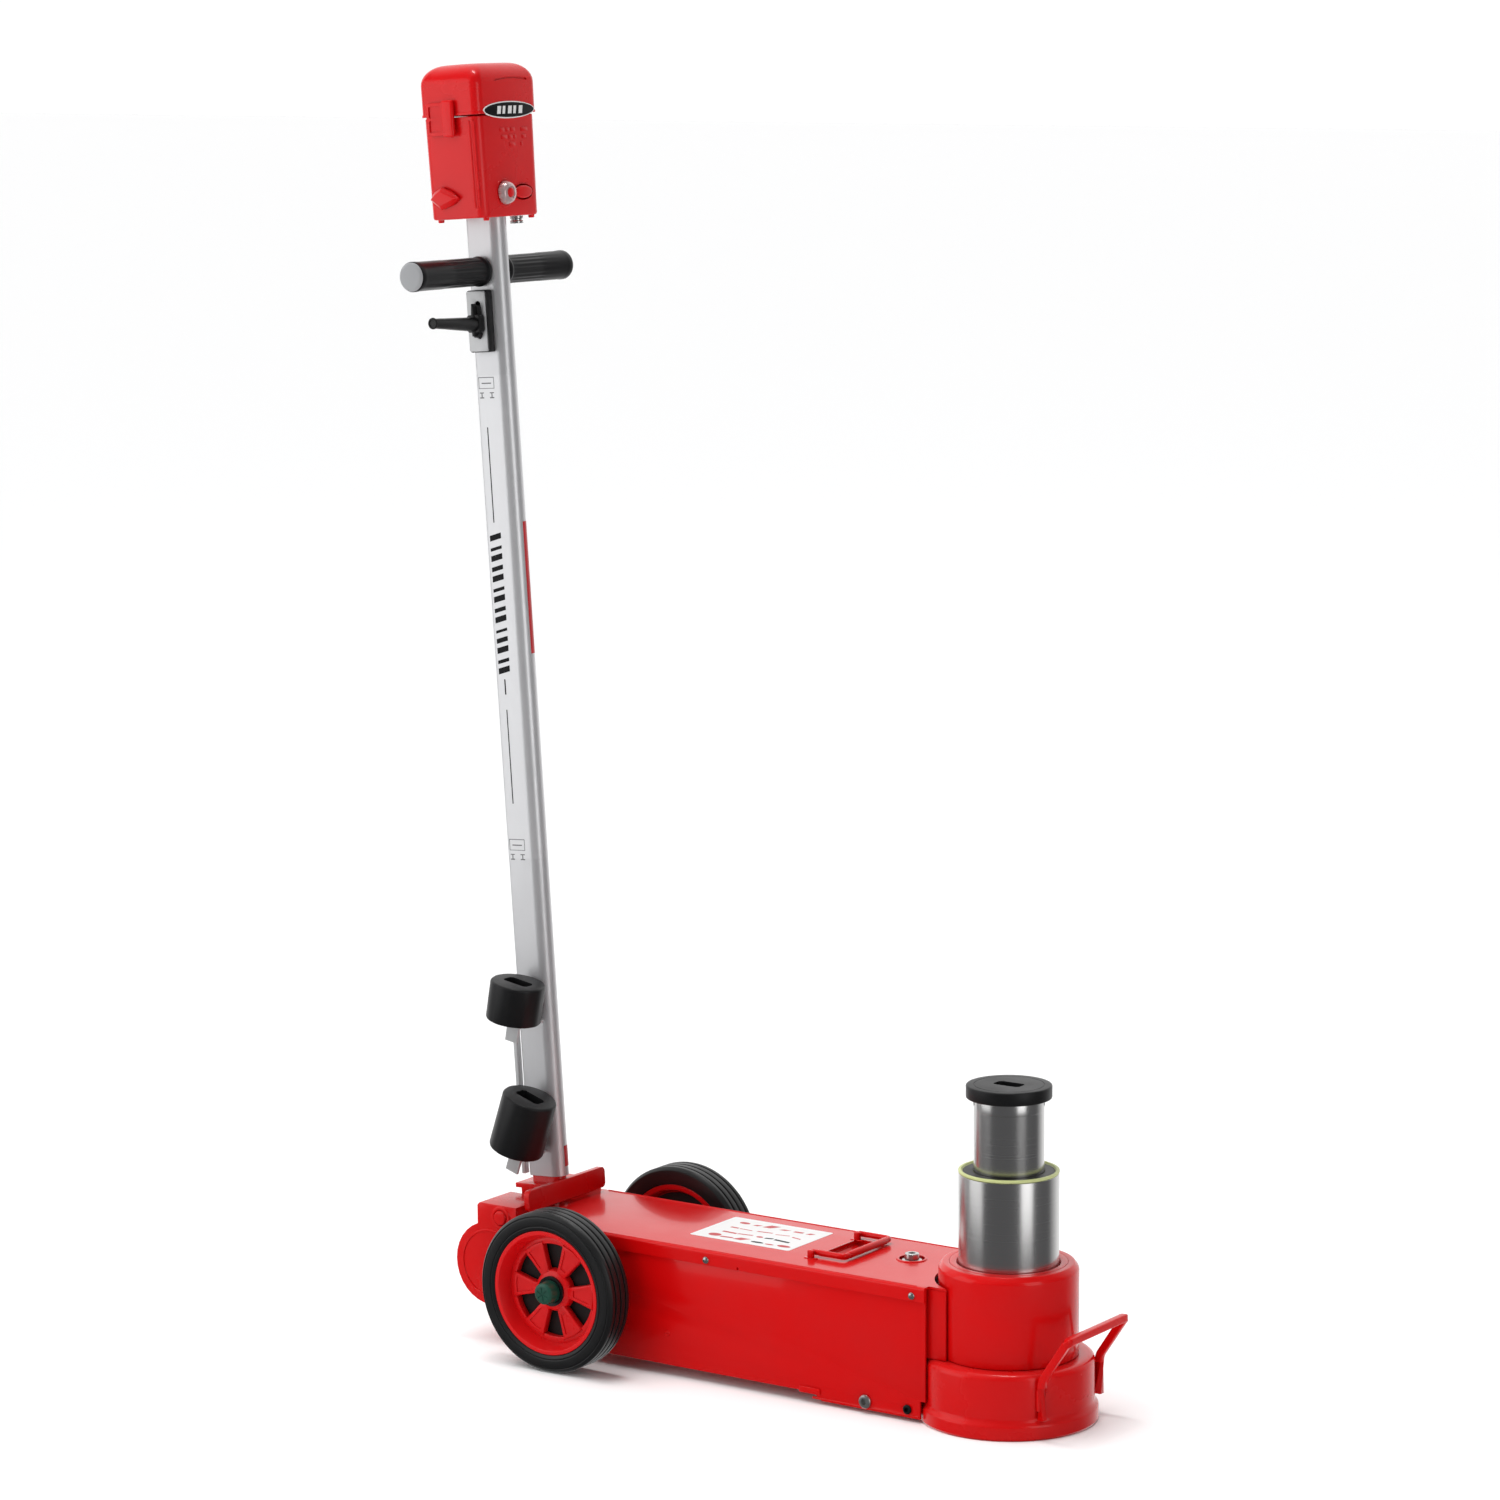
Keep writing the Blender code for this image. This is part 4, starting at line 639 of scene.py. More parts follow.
def makeCover(s):
    low = s["top"] - s["skirt"]
    shell = block((s["rear"], -s["half"], low - 0.02), (s["front"], s["half"], s["top"]), s["fold"], 5,
                  along=0)
    inner = s["half"] - s["sheet"]
    hollow = block((s["rear"] - 0.01, -inner, low - 0.03), (s["front"] + 0.01, inner, s["top"] - s["sheet"]),
                   0.0012, 3, along=0)
    below = block((s["rear"] - 0.01, -0.2, low - 0.05), (s["front"] + 0.01, 0.2, low))
    neck = rod(s["arc"], 0.10, 0.16, 128)
    tray = plate(roundRect(s["tray"][0], s["tray"][2], s["tray"][1], s["tray"][3], 0.0025), 0.10, 0.16)
    fillerX, fillerY, fillerRadius = s["filler"]
    filler = moved(rod(fillerRadius, 0.10, 0.16, 64), at(fillerX, fillerY, 0))
    corners = [block((-0.0515, min(side * 0.0665, side * 0.10), 0.10),
                     (0.0, max(side * 0.0665, side * 0.10), 0.16)) for side in (-1, 1)]
    notch = block((-0.2760, -0.0800, low - 0.001), (-0.2735, -0.0700, low + 0.0035))
    holes = [moved(rod(0.0021, -0.01, 0.01, 24), at(x, side * s["half"], s["screws"][2]) @ facing["near"])
             for x in s["screws"][:2] for side in (-1, 1)]
    cover = carved(shell, hollow, below, neck, tray, filler, notch, *corners, *holes)
    settle(cover, "foldedCover", "redEnamel", "base", ["top_cover"], crease=28)
    # rims round the tray and the filler, and a bead along each fold
    x0, x1, y0, y1 = s["tray"]
    wide = 0.0022
    rim = carved(plate(roundRect(x0 - wide, y0 - wide, x1 + wide, y1 + wide, 0.0045), s["top"] - 0.0002,
                       s["top"] + 0.0008, 0.0005), plate(roundRect(x0, y0, x1, y1, 0.0025), 0.13, 0.16))
    settle(rim, "trayRim", "redEnamel", "base")
    lip = turned([(fillerRadius, s["top"] - 0.0010), (fillerRadius + 0.0030, s["top"] - 0.0004),
                  (fillerRadius + 0.0024, s["top"] + 0.0010, 0.0004),
                  (fillerRadius, s["top"] + 0.0012, 0.0004)], 64)
    settle(lip, "fillerRim", "redEnamel", "base", space=at(fillerX, fillerY, 0))
    for name, y in (("near", -s["half"] + 0.0030), ("far", s["half"] - 0.0034)):
        bead = bentBar([(s["rear"] + 0.012, y, s["top"] - 0.0001), (-0.062, y, s["top"] - 0.0001)], [],
                       0.0007, sides=12)
        settle(bead, "edgeBead_" + name, "redEnamel", "base")


panelSet = {"roll": (-0.186, -0.060, 0.0062, 0.0016), "tab": (-0.2020, -0.1765, 0.0100, 0.0165),
            "rivet": 0.0030, "rivetX": -0.3647, "rivetZ": 0.0447}


def makePanels(s):
    for side in ("near", "far"):
        settle(softened("side_panel_" + side, 0.0007), "sidePanel_" + side, "redEnamel", "base",
               ["side_panel_" + side])
        settle(softened("neck_plate_" + side, 0.0006), "neckPlate_" + side, "redEnamel", "base",
               ["neck_plate_" + side])
    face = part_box("side_panel_near")[0].y
    x0, x1, z, radius = s["roll"]
    rolled = bentBar([(x0, face + 0.0012, z), (x1, face + 0.0012, z)], [], radius, sides=16)
    settle(rolled, "panelRoll", "redEnamel", "base")
    x0, x1, low, high = s["tab"]
    tab = block((x0, face - 0.0016, low), (x1, face + 0.0014, high), 0.0007)
    settle(tab, "panelTab", "redEnamel", "base")
    rivet = turned([(0.0008, 0.0006), (s["rivet"] - 0.0010, 0.0006, 0.0002),
                    (s["rivet"] - 0.0006, 0.0011, 0.0003), (s["rivet"], 0.0, 0.0002), (0.0008, 0.0)], 32)
    settle(rivet, "panelRivet_0", "redEnamel", "base",
           space=at(s["rivetX"], face, s["rivetZ"]) @ facing["near"])


cheekSet = {"outer": 0.0755, "pin": (-0.576, 0.137), "boss": (0.0082, 0.0125), "round": (-0.591, 0.0855),
            "seam": (0.0345, 0.0372), "pinLength": 0.1480}


def makeCheeks(s):
    pinX, pinZ = s["pin"]
    roundX, roundZ = s["round"]
    inside, outside = s["boss"]
    seamIn, seamOut = s["seam"]
    for side, sign in (("near", -1), ("far", 1)):
        cheek = softened("rear_cheek_" + side, 0.0022, 40, 4)
        settle(cheek, "rearCheek_" + side, "redCast", "base", ["rear_cheek_" + side], crease=40)
        boss = turned([(inside, -0.0004), (outside, -0.0004), (outside - 0.0010, 0.0012, 0.0004),
                       (inside + 0.0006, 0.0014, 0.0003)], 48)
        settle(boss, "pinBoss_" + side, "redCast", "base",
               space=at(pinX, sign * s["outer"], pinZ) @ facing[side])
        seam = turned([(seamIn, -0.0006), (seamOut, -0.0006), (seamOut - 0.0004, 0.0006, 0.0003),
                       (seamIn + 0.0005, 0.0006, 0.0003)], 96)
        settle(seam, "cheekRim_" + side, "redCast", "base",
               space=at(roundX, sign * s["outer"], roundZ) @ facing[side])
    pin = turned([(0.0, 0.0030), (0.0070, 0.0030, 0.0007), (0.0080, 0.0003), (0.0060, 0.0),
                  (0.0060, -s["pinLength"]), (0.0, -s["pinLength"])], 48, closed=False)
    settle(pin, "pivotPin", "redCast", "base", ["pivot_pin"], at(pinX, -0.0756, pinZ) @ facing["near"])


traySet = {"hinge": (-0.2080, 0.1450), "legs": (-0.0345, 0.0510), "reach": 0.0355, "bar": 0.0030,
           "sleeve": 0.0036, "sleeveHalf": 0.034}


def makeTray(s):
    settle(softened("handle_tray", 0.0006), "trayPan", "redEnamel", "base", ["handle_tray"])
    x, z = s["hinge"]
    y0, y1 = s["legs"]
    bar = bentBar([(x - 0.0020, y0, z), (x + s["reach"], y0, z), (x + s["reach"], y1, z),
                   (x - 0.0020, y1, z)], [0.006, 0.006], s["bar"], sides=16)
    bore = [moved(rod(0.0020, -0.01, 0.01, 24), at(x, y, z) @ facing["near"]) for y in (y0, y1)]
    settle(carved(bar, *bore), "carryBail", "redEnamel", "carry_bail", ["carry_handle"])
    sleeve = rod(s["sleeve"], -s["sleeveHalf"], s["sleeveHalf"], 32, 0.0008)
    settle(sleeve, "carrySleeve", "redEnamel", "carry_bail",
           space=at(x + s["reach"], (y0 + y1) / 2, z) @ facing["near"])
    for side, y in (("near", y0), ("far", y1)):
        lug = plate(roundRect(x - 0.0075, y - 0.0100, x + 0.0075, y - 0.0046, 0.0015), 0.1398, 0.1408, 0.0003)
        settle(lug, "lugFoot_" + side, "redEnamel", "base")
        stand = block((x - 0.0035, y - 0.0096, 0.1400), (x + 0.0035, y - 0.0050, z + 0.0036), 0.0014, 3)
        settle(stand, "lugStand_" + side, "redEnamel", "base")
        pin = rod(0.0017, -0.0040, 0.0078, 24)
        settle(pin, "lugPin_" + side, "brightZinc", "base", space=at(x, y, z) @ facing["near"])


# name, node, place along x, radius, key size, height and finish of the two in the near panel
plugSet = {"filler": (-0.1215, 0.0120), "low": 0.0125,
           "sideways": (("drainPlug", "drain_plug", -0.1225, 0.0070, 0.0036, 0.0030, "brightZinc"),
                        ("bleedScrew", "bleed_screw", -0.0727, 0.0048, 0.0027, 0.0022, "blackSteel")),
           "screws": (("rear", -0.3139), ("front", -0.0660)), "screwFace": -0.0758, "screwZ": 0.130}


def makePlugs(s):
    x, y = s["filler"]
    plug = turned([(0.0, 0.1215), (0.0070, 0.1215), (0.0070, 0.1372), (0.0105, 0.1372),
                   (0.0105, 0.1396, 0.0006), (0.0075, 0.1400), (0.0072, 0.1462, 0.0008), (0.0, 0.1462)], 48,
                  closed=False)
    settle(carved(plug, plate(hexagon(0.0040), 0.1425, 0.1500)), "fillerPlug", "brightZinc", "base",
           ["filler_plug"], at(x, y, 0))
    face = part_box("side_panel_near")[0].y - 0.0003
    for name, node, px, outer, socket, height, look in s["sideways"]:
        head = turned([(0.0, -0.0026), (outer * 0.70, -0.0026), (outer * 0.70, 0.0), (outer, 0.0, 0.0002),
                       (outer, height * 0.55, 0.0004), (outer * 0.80, height, 0.0004), (0.0, height)], 48,
                      closed=False)
        key = plate(hexagon(socket), -0.0010, 0.0050)
        settle(carved(head, key), name, look, "base", [node], at(px, face, s["low"]) @ facing["near"])
    for end, px in s["screws"]:
        screw = turned([(0.0, -0.0020), (0.0018, -0.0020), (0.0018, 0.0), (0.0038, 0.0, 0.0001),
                        (0.0037, 0.0008, 0.0002), (0.0026, 0.0019, 0.0004), (0.0, 0.0023)], 32, closed=False)
        cross = [moved(block((-0.0016, -0.0003, 0.0013), (0.0016, 0.0003, 0.0040)),
                       Matrix.Rotation(math.radians(turn), 4, "Z")) for turn in (20, 110)]
        settle(carved(screw, *cross), "coverScrew_" + end, "brightZinc", "base", ["cover_screw_" + end],
               at(px, s["screwFace"], s["screwZ"]) @ facing["near"])


makeCover(coverSet)
makePanels(panelSet)
makeCheeks(cheekSet)
makeTray(traySet)
makePlugs(plugSet)
# the pieces inside keep their CAD shapes and get their finishes
for node, look in (("floor_plate", "redEnamel"), ("oil_tank", "greyNylon"), ("pump_block", "rawCasting"),
                   ("air_motor", "satinAluminium"), ("pressure_pipe", "brightZinc"),
                   ("piston_seal", "gripRubber"), ("lock_sector", "groundSteel"),
                   ("lock_rod", "groundSteel")):
    for slotIndex in range(len(nodes[node].material_slots)):
        nodes[node].material_slots[slotIndex].material = looks[look]
print("chassis made")


# wheels
wheelSet = {"axle": (-0.4757, 0.0840), "radius": 0.0840, "rim": 0.0650, "face": 0.1340, "inner": 0.0980,
            "spokes": 6, "grooves": (0.0085, 0.0, -0.0085), "sleeveEnd": 0.0973, "axleEnd": 0.1345}


def makeWheel(s, side, sign):
    middle = sign * (s["face"] + s["inner"]) / 2
    half = (s["face"] - s["inner"]) / 2
    axleX, axleZ = s["axle"]
    spot = at(axleX, middle, axleZ) @ facing[side]
    body = "wheel_" + side
    tread = [(s["radius"] - 0.0032, half - 0.0004, 0.0006), (s["radius"], half - 0.0042, 0.0008)]
    for groove in s["grooves"]:  # the grooves that run round the tread
        tread += [(s["radius"], groove + 0.0012, 0.0002), (s["radius"] - 0.0016, groove + 0.0008),
                  (s["radius"] - 0.0016, groove - 0.0008), (s["radius"], groove - 0.0012, 0.0002)]
    tread += [(s["radius"], -half + 0.0042, 0.0008), (s["radius"] - 0.0032, -half + 0.0004, 0.0006)]
    wall = [(s["rim"] + 0.0010, -half + 0.0010, 0.0006), (s["rim"] + 0.0003, -half + 0.0020),
            (s["rim"] + 0.0003, half - 0.0020), (s["rim"] + 0.0010, half - 0.0010, 0.0006),
            (s["rim"] + 0.0040, half, 0.0003), (s["rim"] + 0.0046, half - 0.0007, 0.0002),
            (s["rim"] + 0.0052, half - 0.0007, 0.0002), (s["rim"] + 0.0058, half, 0.0003),
            (s["radius"] - 0.0052, half, 0.0006), (s["radius"] - 0.0046, half - 0.0009, 0.0002),
            (s["radius"] - 0.0040, half - 0.0009, 0.0002)]
    settle(turned(tread + wall, 160), "tyreBody_" + side, "tyreRubber", body, ["tyre_" + side], spot)
    barrel = turned([(s["rim"] - 0.0042, half - 0.0014, 0.0005), (s["rim"], half - 0.0012, 0.0005),
                     (s["rim"], -half + 0.0020, 0.0004), (s["rim"] - 0.0055, -half + 0.0020, 0.0004),
                     (0.0560, -0.0055, 0.0008), (0.0552, 0.0020, 0.0012)], 128)
    ring = turned([(0.0560, 0.0022, 0.0010), (0.0560, -0.0048), (0.0490, -0.0048), (0.0490, 0.0028, 0.0012)],
                  96)
    hub = turned([(0.0103, 0.0056), (0.0158, 0.0056, 0.0008), (0.0215, 0.0032, 0.0020), (0.0225, -0.0040),
                  (0.0165, -0.0060), (0.0165, -half + 0.0010, 0.0004), (0.0103, -half + 0.0010)], 96)
    parts = [ring, hub]
    for index in range(s["spokes"]):
        wedge = [(0.0180, -0.0052), (0.0340, -0.0090), (0.0500, -0.0136), (0.0515, 0.0), (0.0500, 0.0136),
                 (0.0340, 0.0090), (0.0180, 0.0052), (0.0170, 0.0)]
        paddle = plate(wedge, -0.0040, 0.0040, 0.0014, 3)
        dip = plate([(0.0260, -0.0034), (0.0460, -0.0082), (0.0470, 0.0), (0.0460, 0.0082), (0.0260, 0.0034)],
                    0.0030, 0.0060)
        paddle = carved(paddle, dip)
        parts.append(moved(paddle, Matrix.Rotation(math.radians(60 + 360 * index / s["spokes"]), 4, "Z")))
    settle(merged(barrel, *parts), "rimBody_" + side, "redMoulded", body, ["rim_" + side], spot, crease=30)
    # a near-black disc behind the spoke openings: painted shade, so the gaps between the spokes look dark
    back = turned([(0.0170, -0.0072), (0.0548, -0.0072), (0.0548, -0.0062), (0.0170, -0.0062)], 96)
    settle(back, "paintedShadeDisc_" + side, "paintedShadeBlack", body, space=spot)
    washer = turned([(0.0104, 0.0060), (0.0158, 0.0060), (0.0158, 0.0086, 0.0006), (0.0104, 0.0072)], 48)
    settle(washer, "hubWasher_" + side, "blackNylon", body, space=spot)
    cap = turned([(0.0, 0.0218), (0.0088, 0.0218, 0.0010), (0.0112, 0.0202, 0.0008), (0.0122, 0.0080, 0.0006),
                  (0.0104, 0.0074), (0.0104, 0.0190), (0.0, 0.0190)], 64, closed=False)
    ribs = [moved(block((-0.0006, -0.0070, 0.0212), (0.0006, 0.0070, 0.0240)),
                  Matrix.Rotation(math.radians(60 * i + 10), 4, "Z")) for i in range(3)]
    settle(carved(cap, *ribs), "hubCap_" + side, "greenNylon", body, ["hub_cap_" + side], spot)
    sleeve = turned([(0.0140, 0.0), (0.0140, -0.0215, 0.0006), (0.0103, -0.0215), (0.0103, 0.0)], 48)
    settle(sleeve, "axleSleeve_" + side, "brightZinc", "base", ["axle_sleeve_" + side],
           at(axleX, sign * s["sleeveEnd"], axleZ) @ facing[side])


makeWheel(wheelSet, "near", -1)
makeWheel(wheelSet, "far", 1)
settle(rod(0.0100, -wheelSet["axleEnd"], wheelSet["axleEnd"], 48, 0.0010), "axleBar", "groundSteel", "base",
       ["axle"], at(wheelSet["axle"][0], 0.0, wheelSet["axle"][1]) @ facing["near"])
print("wheels made")


# handle tube, yoke and grips
tubeSet = {"middle": 0.01175, "depth": 0.0415, "thick": 0.0240, "wall": 0.0022, "bottom": 0.0320,
           "top": 1.0800, "film": (0.3705, 0.8770), "gripHole": (0.0080, 0, 0.9840),
           "leverSlot": (0.0055, 0.9140, 0.0115, 0.9520)}


def tubeOutline(s, grow=0.0, steps=24):
    half = s["thick"] / 2 + grow
    back = s["middle"] - s["depth"] / 2 - grow
    centre = s["middle"] + s["depth"] / 2 - s["thick"] / 2
    corner = max(0.004 + grow, 0.001)
    spots = [(centre + half * math.cos(math.radians(a)), half * math.sin(math.radians(a)))
             for a in [-90 + 180 * i / steps for i in range(steps + 1)]]
    for cy, start in ((half - corner, 90), (-half + corner, 180)):
        spots += [(back + corner + corner * math.cos(math.radians(start + 90 * i / 6)),
                   cy + corner * math.sin(math.radians(start + 90 * i / 6))) for i in range(7)]
    return spots


def makeTube(s):
    tube = carved(plate(tubeOutline(s), s["bottom"], s["top"], 0.0003, 1),
                  plate(tubeOutline(s, -s["wall"]), s["bottom"] - 0.01, s["top"] + 0.01),
                  moved(rod(0.0103, -0.05, 0.05), at(*s["gripHole"]) @ facing["near"]),
                  moved(plate(roundRect(*s["leverSlot"], 0.0028), 0.008, 0.020), facing["near"]))
    settle(tube, "handleTube", "satinAluminium", "handle", ["handle_tube"], handleSpace, crease=30)
    low, high = s["film"]
    film = carved(plate(tubeOutline(s, 0.00014), low, high, 0.00006, 1),
                  plate(tubeOutline(s, 0.00001), low - 0.01, high + 0.01))
    settle(film, "printedFilm", "printFilm", "handle", space=handleSpace, crease=30)


def onFlat(outline, lift=0.00016, thick=0.00008):
    # a flat mark on the near face of the tube; the outline is in x and z of the handle
    face = tubeSet["thick"] / 2
    return moved(plate(outline, face + lift, face + lift + thick), facing["near"])


# lines: low, high, middle and half width; words: plain blocks, by height, where words would be
markSet = {"lines": ((0.7240, 0.8230, 0.0030, 0.0006), (0.4290, 0.5280, 0.0035, 0.0006),
                     (0.5440, 0.5600, 0.0035, 0.0008)),
           "words": (0.0062, 0.0038, 0.0062, 0.0050, 0.0030, 0.0062, 0.0044, 0.0062, 0.0036, 0.0062, 0.0048,
                     0.0060, 0.0034, 0.0060), "wordsLow": 0.5680, "step": 0.0107, "lean": 0.0030,
           "signs": (0.8520, 0.3685), "red": ((0.5860, 0.7240), (0.0420, 0.0640))}


def makeTubeMarks(s):
    marks = [onFlat(rectangle(x - wide, low, x + wide, high)) for low, high, x, wide in s["lines"]]
    lean = s["lean"]
    for index, tall in enumerate(s["words"]):
        z = s["wordsLow"] + s["step"] * index
        marks.append(onFlat([(-0.0036, z - lean), (0.0110, z + lean * 0.2), (0.0110, z + tall + lean * 0.2),
                             (-0.0036, z + tall - lean)]))
    settle(merged(marks[0], *marks[1:]), "tubeMarks", "inkBlack", "handle", space=handleSpace)
    signs = []
    for base in s["signs"]:  # a frame with a bar in it, and two small marks below
        frame = ((-0.0048, 0.0222, 0.0152, 0.0230), (-0.0048, 0.0110, 0.0152, 0.0116),
                 (-0.0048, 0.0110, -0.0042, 0.0230), (0.0146, 0.0110, 0.0152, 0.0230),
                 (-0.0010, 0.0160, 0.0114, 0.0172))
        below = ((-0.0040, 0.0010, 0.0012, 0.0022), (-0.0040, 0.0062, 0.0012, 0.0072),
                 (-0.0020, 0.0022, -0.0008, 0.0062), (0.0088, 0.0010, 0.0144, 0.0022),
                 (0.0088, 0.0062, 0.0144, 0.0072), (0.0110, 0.0022, 0.0122, 0.0062))
        signs += [onFlat(rectangle(x0, base + z0, x1, base + z1)) for x0, z0, x1, z1 in frame + below]
    settle(merged(signs[0], *signs[1:]), "tubeSigns", "inkGrey", "handle", space=handleSpace)
    strips = []
    centre = tubeSet["middle"] + tubeSet["depth"] / 2 - tubeSet["thick"] / 2
    for low, high in s["red"]:  # two red strips round the tube's front edge
        bow = [(centre + r * math.cos(math.radians(a)), r * math.sin(math.radians(a)))
               for r, angles in ((0.01216, range(-8, 56, 4)), (0.01226, range(52, -12, -4))) for a in angles]
        strips.append(plate(bow, low, high))
    settle(merged(strips[0], *strips[1:]), "redStrips", "inkRed", "handle", space=handleSpace)


def makeYoke():
    settle(softened("yoke", 0.0012, 40, 3), "yokeBracket", "redCast", "handle", ["yoke"])


gripSet = {"x": 0.0080, "z": 0.9840, "radius": 0.0154, "ring": (0.0123, 0.0168), "end": 0.1268, "cap": 0.1300,
           "flutes": 20, "wave": 0.022}


def makeGrips(s):
    middle = handleSpace @ at(s["x"], 0, s["z"])
    bar = turned([(0.0100, -0.1260), (0.0100, 0.1260), (0.0, 0.1260), (0.0, -0.1260)], 48)
    settle(bar, "gripBar", "satinAluminium", "handle", ["grip_bar"], middle @ facing["near"])
    low, high = s["ring"]
    ring = turned([(0.0101, -low), (0.0142, -low, 0.0006), (0.0142, -high, 0.0006), (0.0101, -high)], 64)
    settle(ring, "gripCollar", "paleBracket", "handle", space=middle @ facing["near"])
    radius, end, cap = s["radius"], s["end"], s["cap"]
    for side, start in (("near", low), ("far", high + 0.0004)):
        rings = [(0.0103, start), (radius - 0.0004, start, 0.0006), (radius + 0.0004, start + 0.0050, 0.0008),
                 (radius - 0.0010, start + 0.0080, 0.0008)]
        rings += [(radius - 0.0010, start + 0.0080 + 0.0060 * i) for i in range(1, 10)]
        rings += [(radius - 0.0004, start + 0.068), (radius - 0.0004, end - 0.0100),
                  (radius, end - 0.0060, 0.0010), (radius, end, 0.0010), (0.0103, end)]
        grip = turned(rings, s["flutes"] * 6)
        for vert in grip.verts:  # shallow flutes along the inner half
            spread = math.hypot(vert.co.x, vert.co.y)
            if spread > 0.0120 and start + 0.010 < vert.co.z < start + 0.064:
                wave = 1.0 + s["wave"] * math.cos(s["flutes"] * math.atan2(vert.co.y, vert.co.x))
                vert.co.x *= wave
                vert.co.y *= wave
        settle(grip, "gripSleeve_" + side, "gripRubber", "handle", ["grip_" + side], middle @ facing[side],
               crease=40)
        plug = turned([(0.0, cap), (0.0072, cap - 0.0001), (0.0122, cap - 0.0006, 0.0006),
                       (radius - 0.0006, cap - 0.0024, 0.0006), (radius - 0.0006, end + 0.0003),
                       (0.0, end + 0.0003)], 64, closed=False)
        settle(plug, "gripCap_" + side, "greyNylon", "handle", ["grip_cap_" + side], middle @ facing[side])


releaseSet = {"edge": (0.0190, 0.9035, 0.0206, 0.9625), "eye": (0.0046, 0.0014), "eyeAt": (0.0085, 0.9353),
              "armFrom": -0.036, "rise": 0.0048}


def makeRelease(s):
    settle(softened("lock_housing", 0.0006), "slideGuide", "blackNylon", "handle", ["lock_housing"])
    settle(softened("slot_plate", 0.0004), "slotPlate", "paleBracket", "handle", ["slot_plate"])
    edge = moved(plate(roundRect(*s["edge"], 0.0007), 0.0140, 0.0222, 0.0003), facing["near"])
    settle(edge, "guideEdge", "blackNylon", "handle", space=handleSpace)
    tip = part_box("release_lever")[0].y
    lever = softened("release_lever", 0.0007, 45)
    for vert in lever.verts:  # the arm rises a little towards its eye
        along = (s["armFrom"] - vert.co.y) / (s["armFrom"] - tip)
        vert.co.z += s["rise"] * min(max(along, 0.0), 1.0)
    settle(lever, "releaseLever", "blackNylon", "release", ["release_lever"])
    wide, thick = s["eye"]
    eye = turned([(wide + thick * math.cos(math.tau * i / 16), thick * math.sin(math.tau * i / 16))
                  for i in range(16)], 48)
    eyeX, eyeZ = s["eyeAt"]
    settle(eye, "leverEye", "blackNylon", "release",
           space=handleSpace @ at(eyeX, tip + 0.0006, eyeZ) @ facing["near"])
    fin = moved(plate([(0.0070, 0.9180), (0.0100, 0.9180), (0.0112, 0.9290), (0.0104, 0.9490),
                       (0.0078, 0.9515), (0.0060, 0.9300)], 0.0235, 0.0330, 0.0009), facing["near"])
    settle(fin, "leverFin", "blackNylon", "release", space=handleSpace)


makeTube(tubeSet)
makeTubeMarks(markSet)
makeYoke()
makeGrips(gripSet)
makeRelease(releaseSet)
print("handle made")


# control box
boxSet = {"bottom": 1.0388, "seam": 1.1438, "top": 1.1958, "dome": 0.020,
          "button": (0.0185, 1.0630, 0.0160, 0.0080), "knob": (-0.0115, 1.0630),
          "ridges": ((0.0395, -0.0478), (0.0345, -0.0486)),
          "feet": ((0.0380, -0.0360), (0.0380, 0.0400), (-0.0190, -0.0380), (-0.0190, 0.0400)),
          "badge": (0.0005, 1.1472), "badgeHalf": (0.0425, 0.0088), "inlet": (0.0300, 0.0250)}
# raised marks on the front: height of each row, then where each mark starts and ends
raisedRows = ((1.1270, ((-0.0135, -0.0060), (-0.0035, 0.0020), (0.0045, 0.0120), (0.0215, 0.0330))),
              (1.1195, ((-0.0120, -0.0020), (0.0005, 0.0070), (0.0090, 0.0135), (0.0230, 0.0300))),
              (1.1120, ((0.0010, 0.0110), (0.0200, 0.0240))))


def onFront(outline, low, high, soft=0.0, segments=2):
    # a plate on the front face; the outline is in y and z of the handle, low and high in x
    return moved(plate(outline, low, high, soft, segments), facing["front"])


def makeControlBox(s):
    low, seam = s["bottom"], s["seam"] - 0.0003
    shell = lofted([(low, -0.0246, 0.0432, 0.0460, 0.0090), (low + 0.0006, -0.0258, 0.0443, 0.0471, 0.0096),
                    (low + 0.0022, -0.0264, 0.0450, 0.0478, 0.0100),
                    (seam - 0.0020, -0.0268, 0.0454, 0.0498, 0.0100),
                    (seam - 0.0012, -0.0262, 0.0448, 0.0492, 0.0098)])
    hollow = lofted([(low + 0.003, -0.0234, 0.0420, 0.0448, 0.007),
                     (seam + 0.01, -0.0238, 0.0424, 0.0468, 0.007)])
    tubeHole = plate(tubeOutline(tubeSet, 0.0003), low - 0.01, low + 0.01)
    by, bz, bw, bh = s["button"]
    recess = onFront(ellipse(by, bz, bw + 0.0003, bh + 0.0003), 0.034, 0.054)
    shell = carved(shell, hollow, tubeHole, recess)
    settle(shell, "controlBox", "redMoulded", "handle", ["control_box"], handleSpace, crease=30)
    # soft double ridge down the near front corner, feet below, and generic raised marks
    for index, (x, y) in enumerate(s["ridges"]):
        ridge = bentBar([(x, y + 0.0006, low + 0.010), (x, y - 0.0012, seam - 0.006)], [], 0.0012, sides=16)
        settle(ridge, "cornerRidge_%d" % index, "redMoulded", "handle", space=handleSpace)
    for index, (x, y) in enumerate(s["feet"]):
        foot = turned([(0.0, -0.0030), (0.0030, -0.0030, 0.0008), (0.0034, 0.0006), (0.0, 0.0006)], 32,
                      closed=False)
        settle(foot, "boxFoot_%d" % index, "redMoulded", "handle", space=handleSpace @ at(x, y, low))
    raised = [onFront(roundRect(y0, z - 0.0022, y1, z + 0.0022, 0.0010), 0.0448, 0.0457, 0.0003)
              for z, spans in raisedRows for y0, y1 in spans]
    settle(merged(raised[0], *raised[1:]), "raisedMarks", "redMoulded", "handle", space=handleSpace)


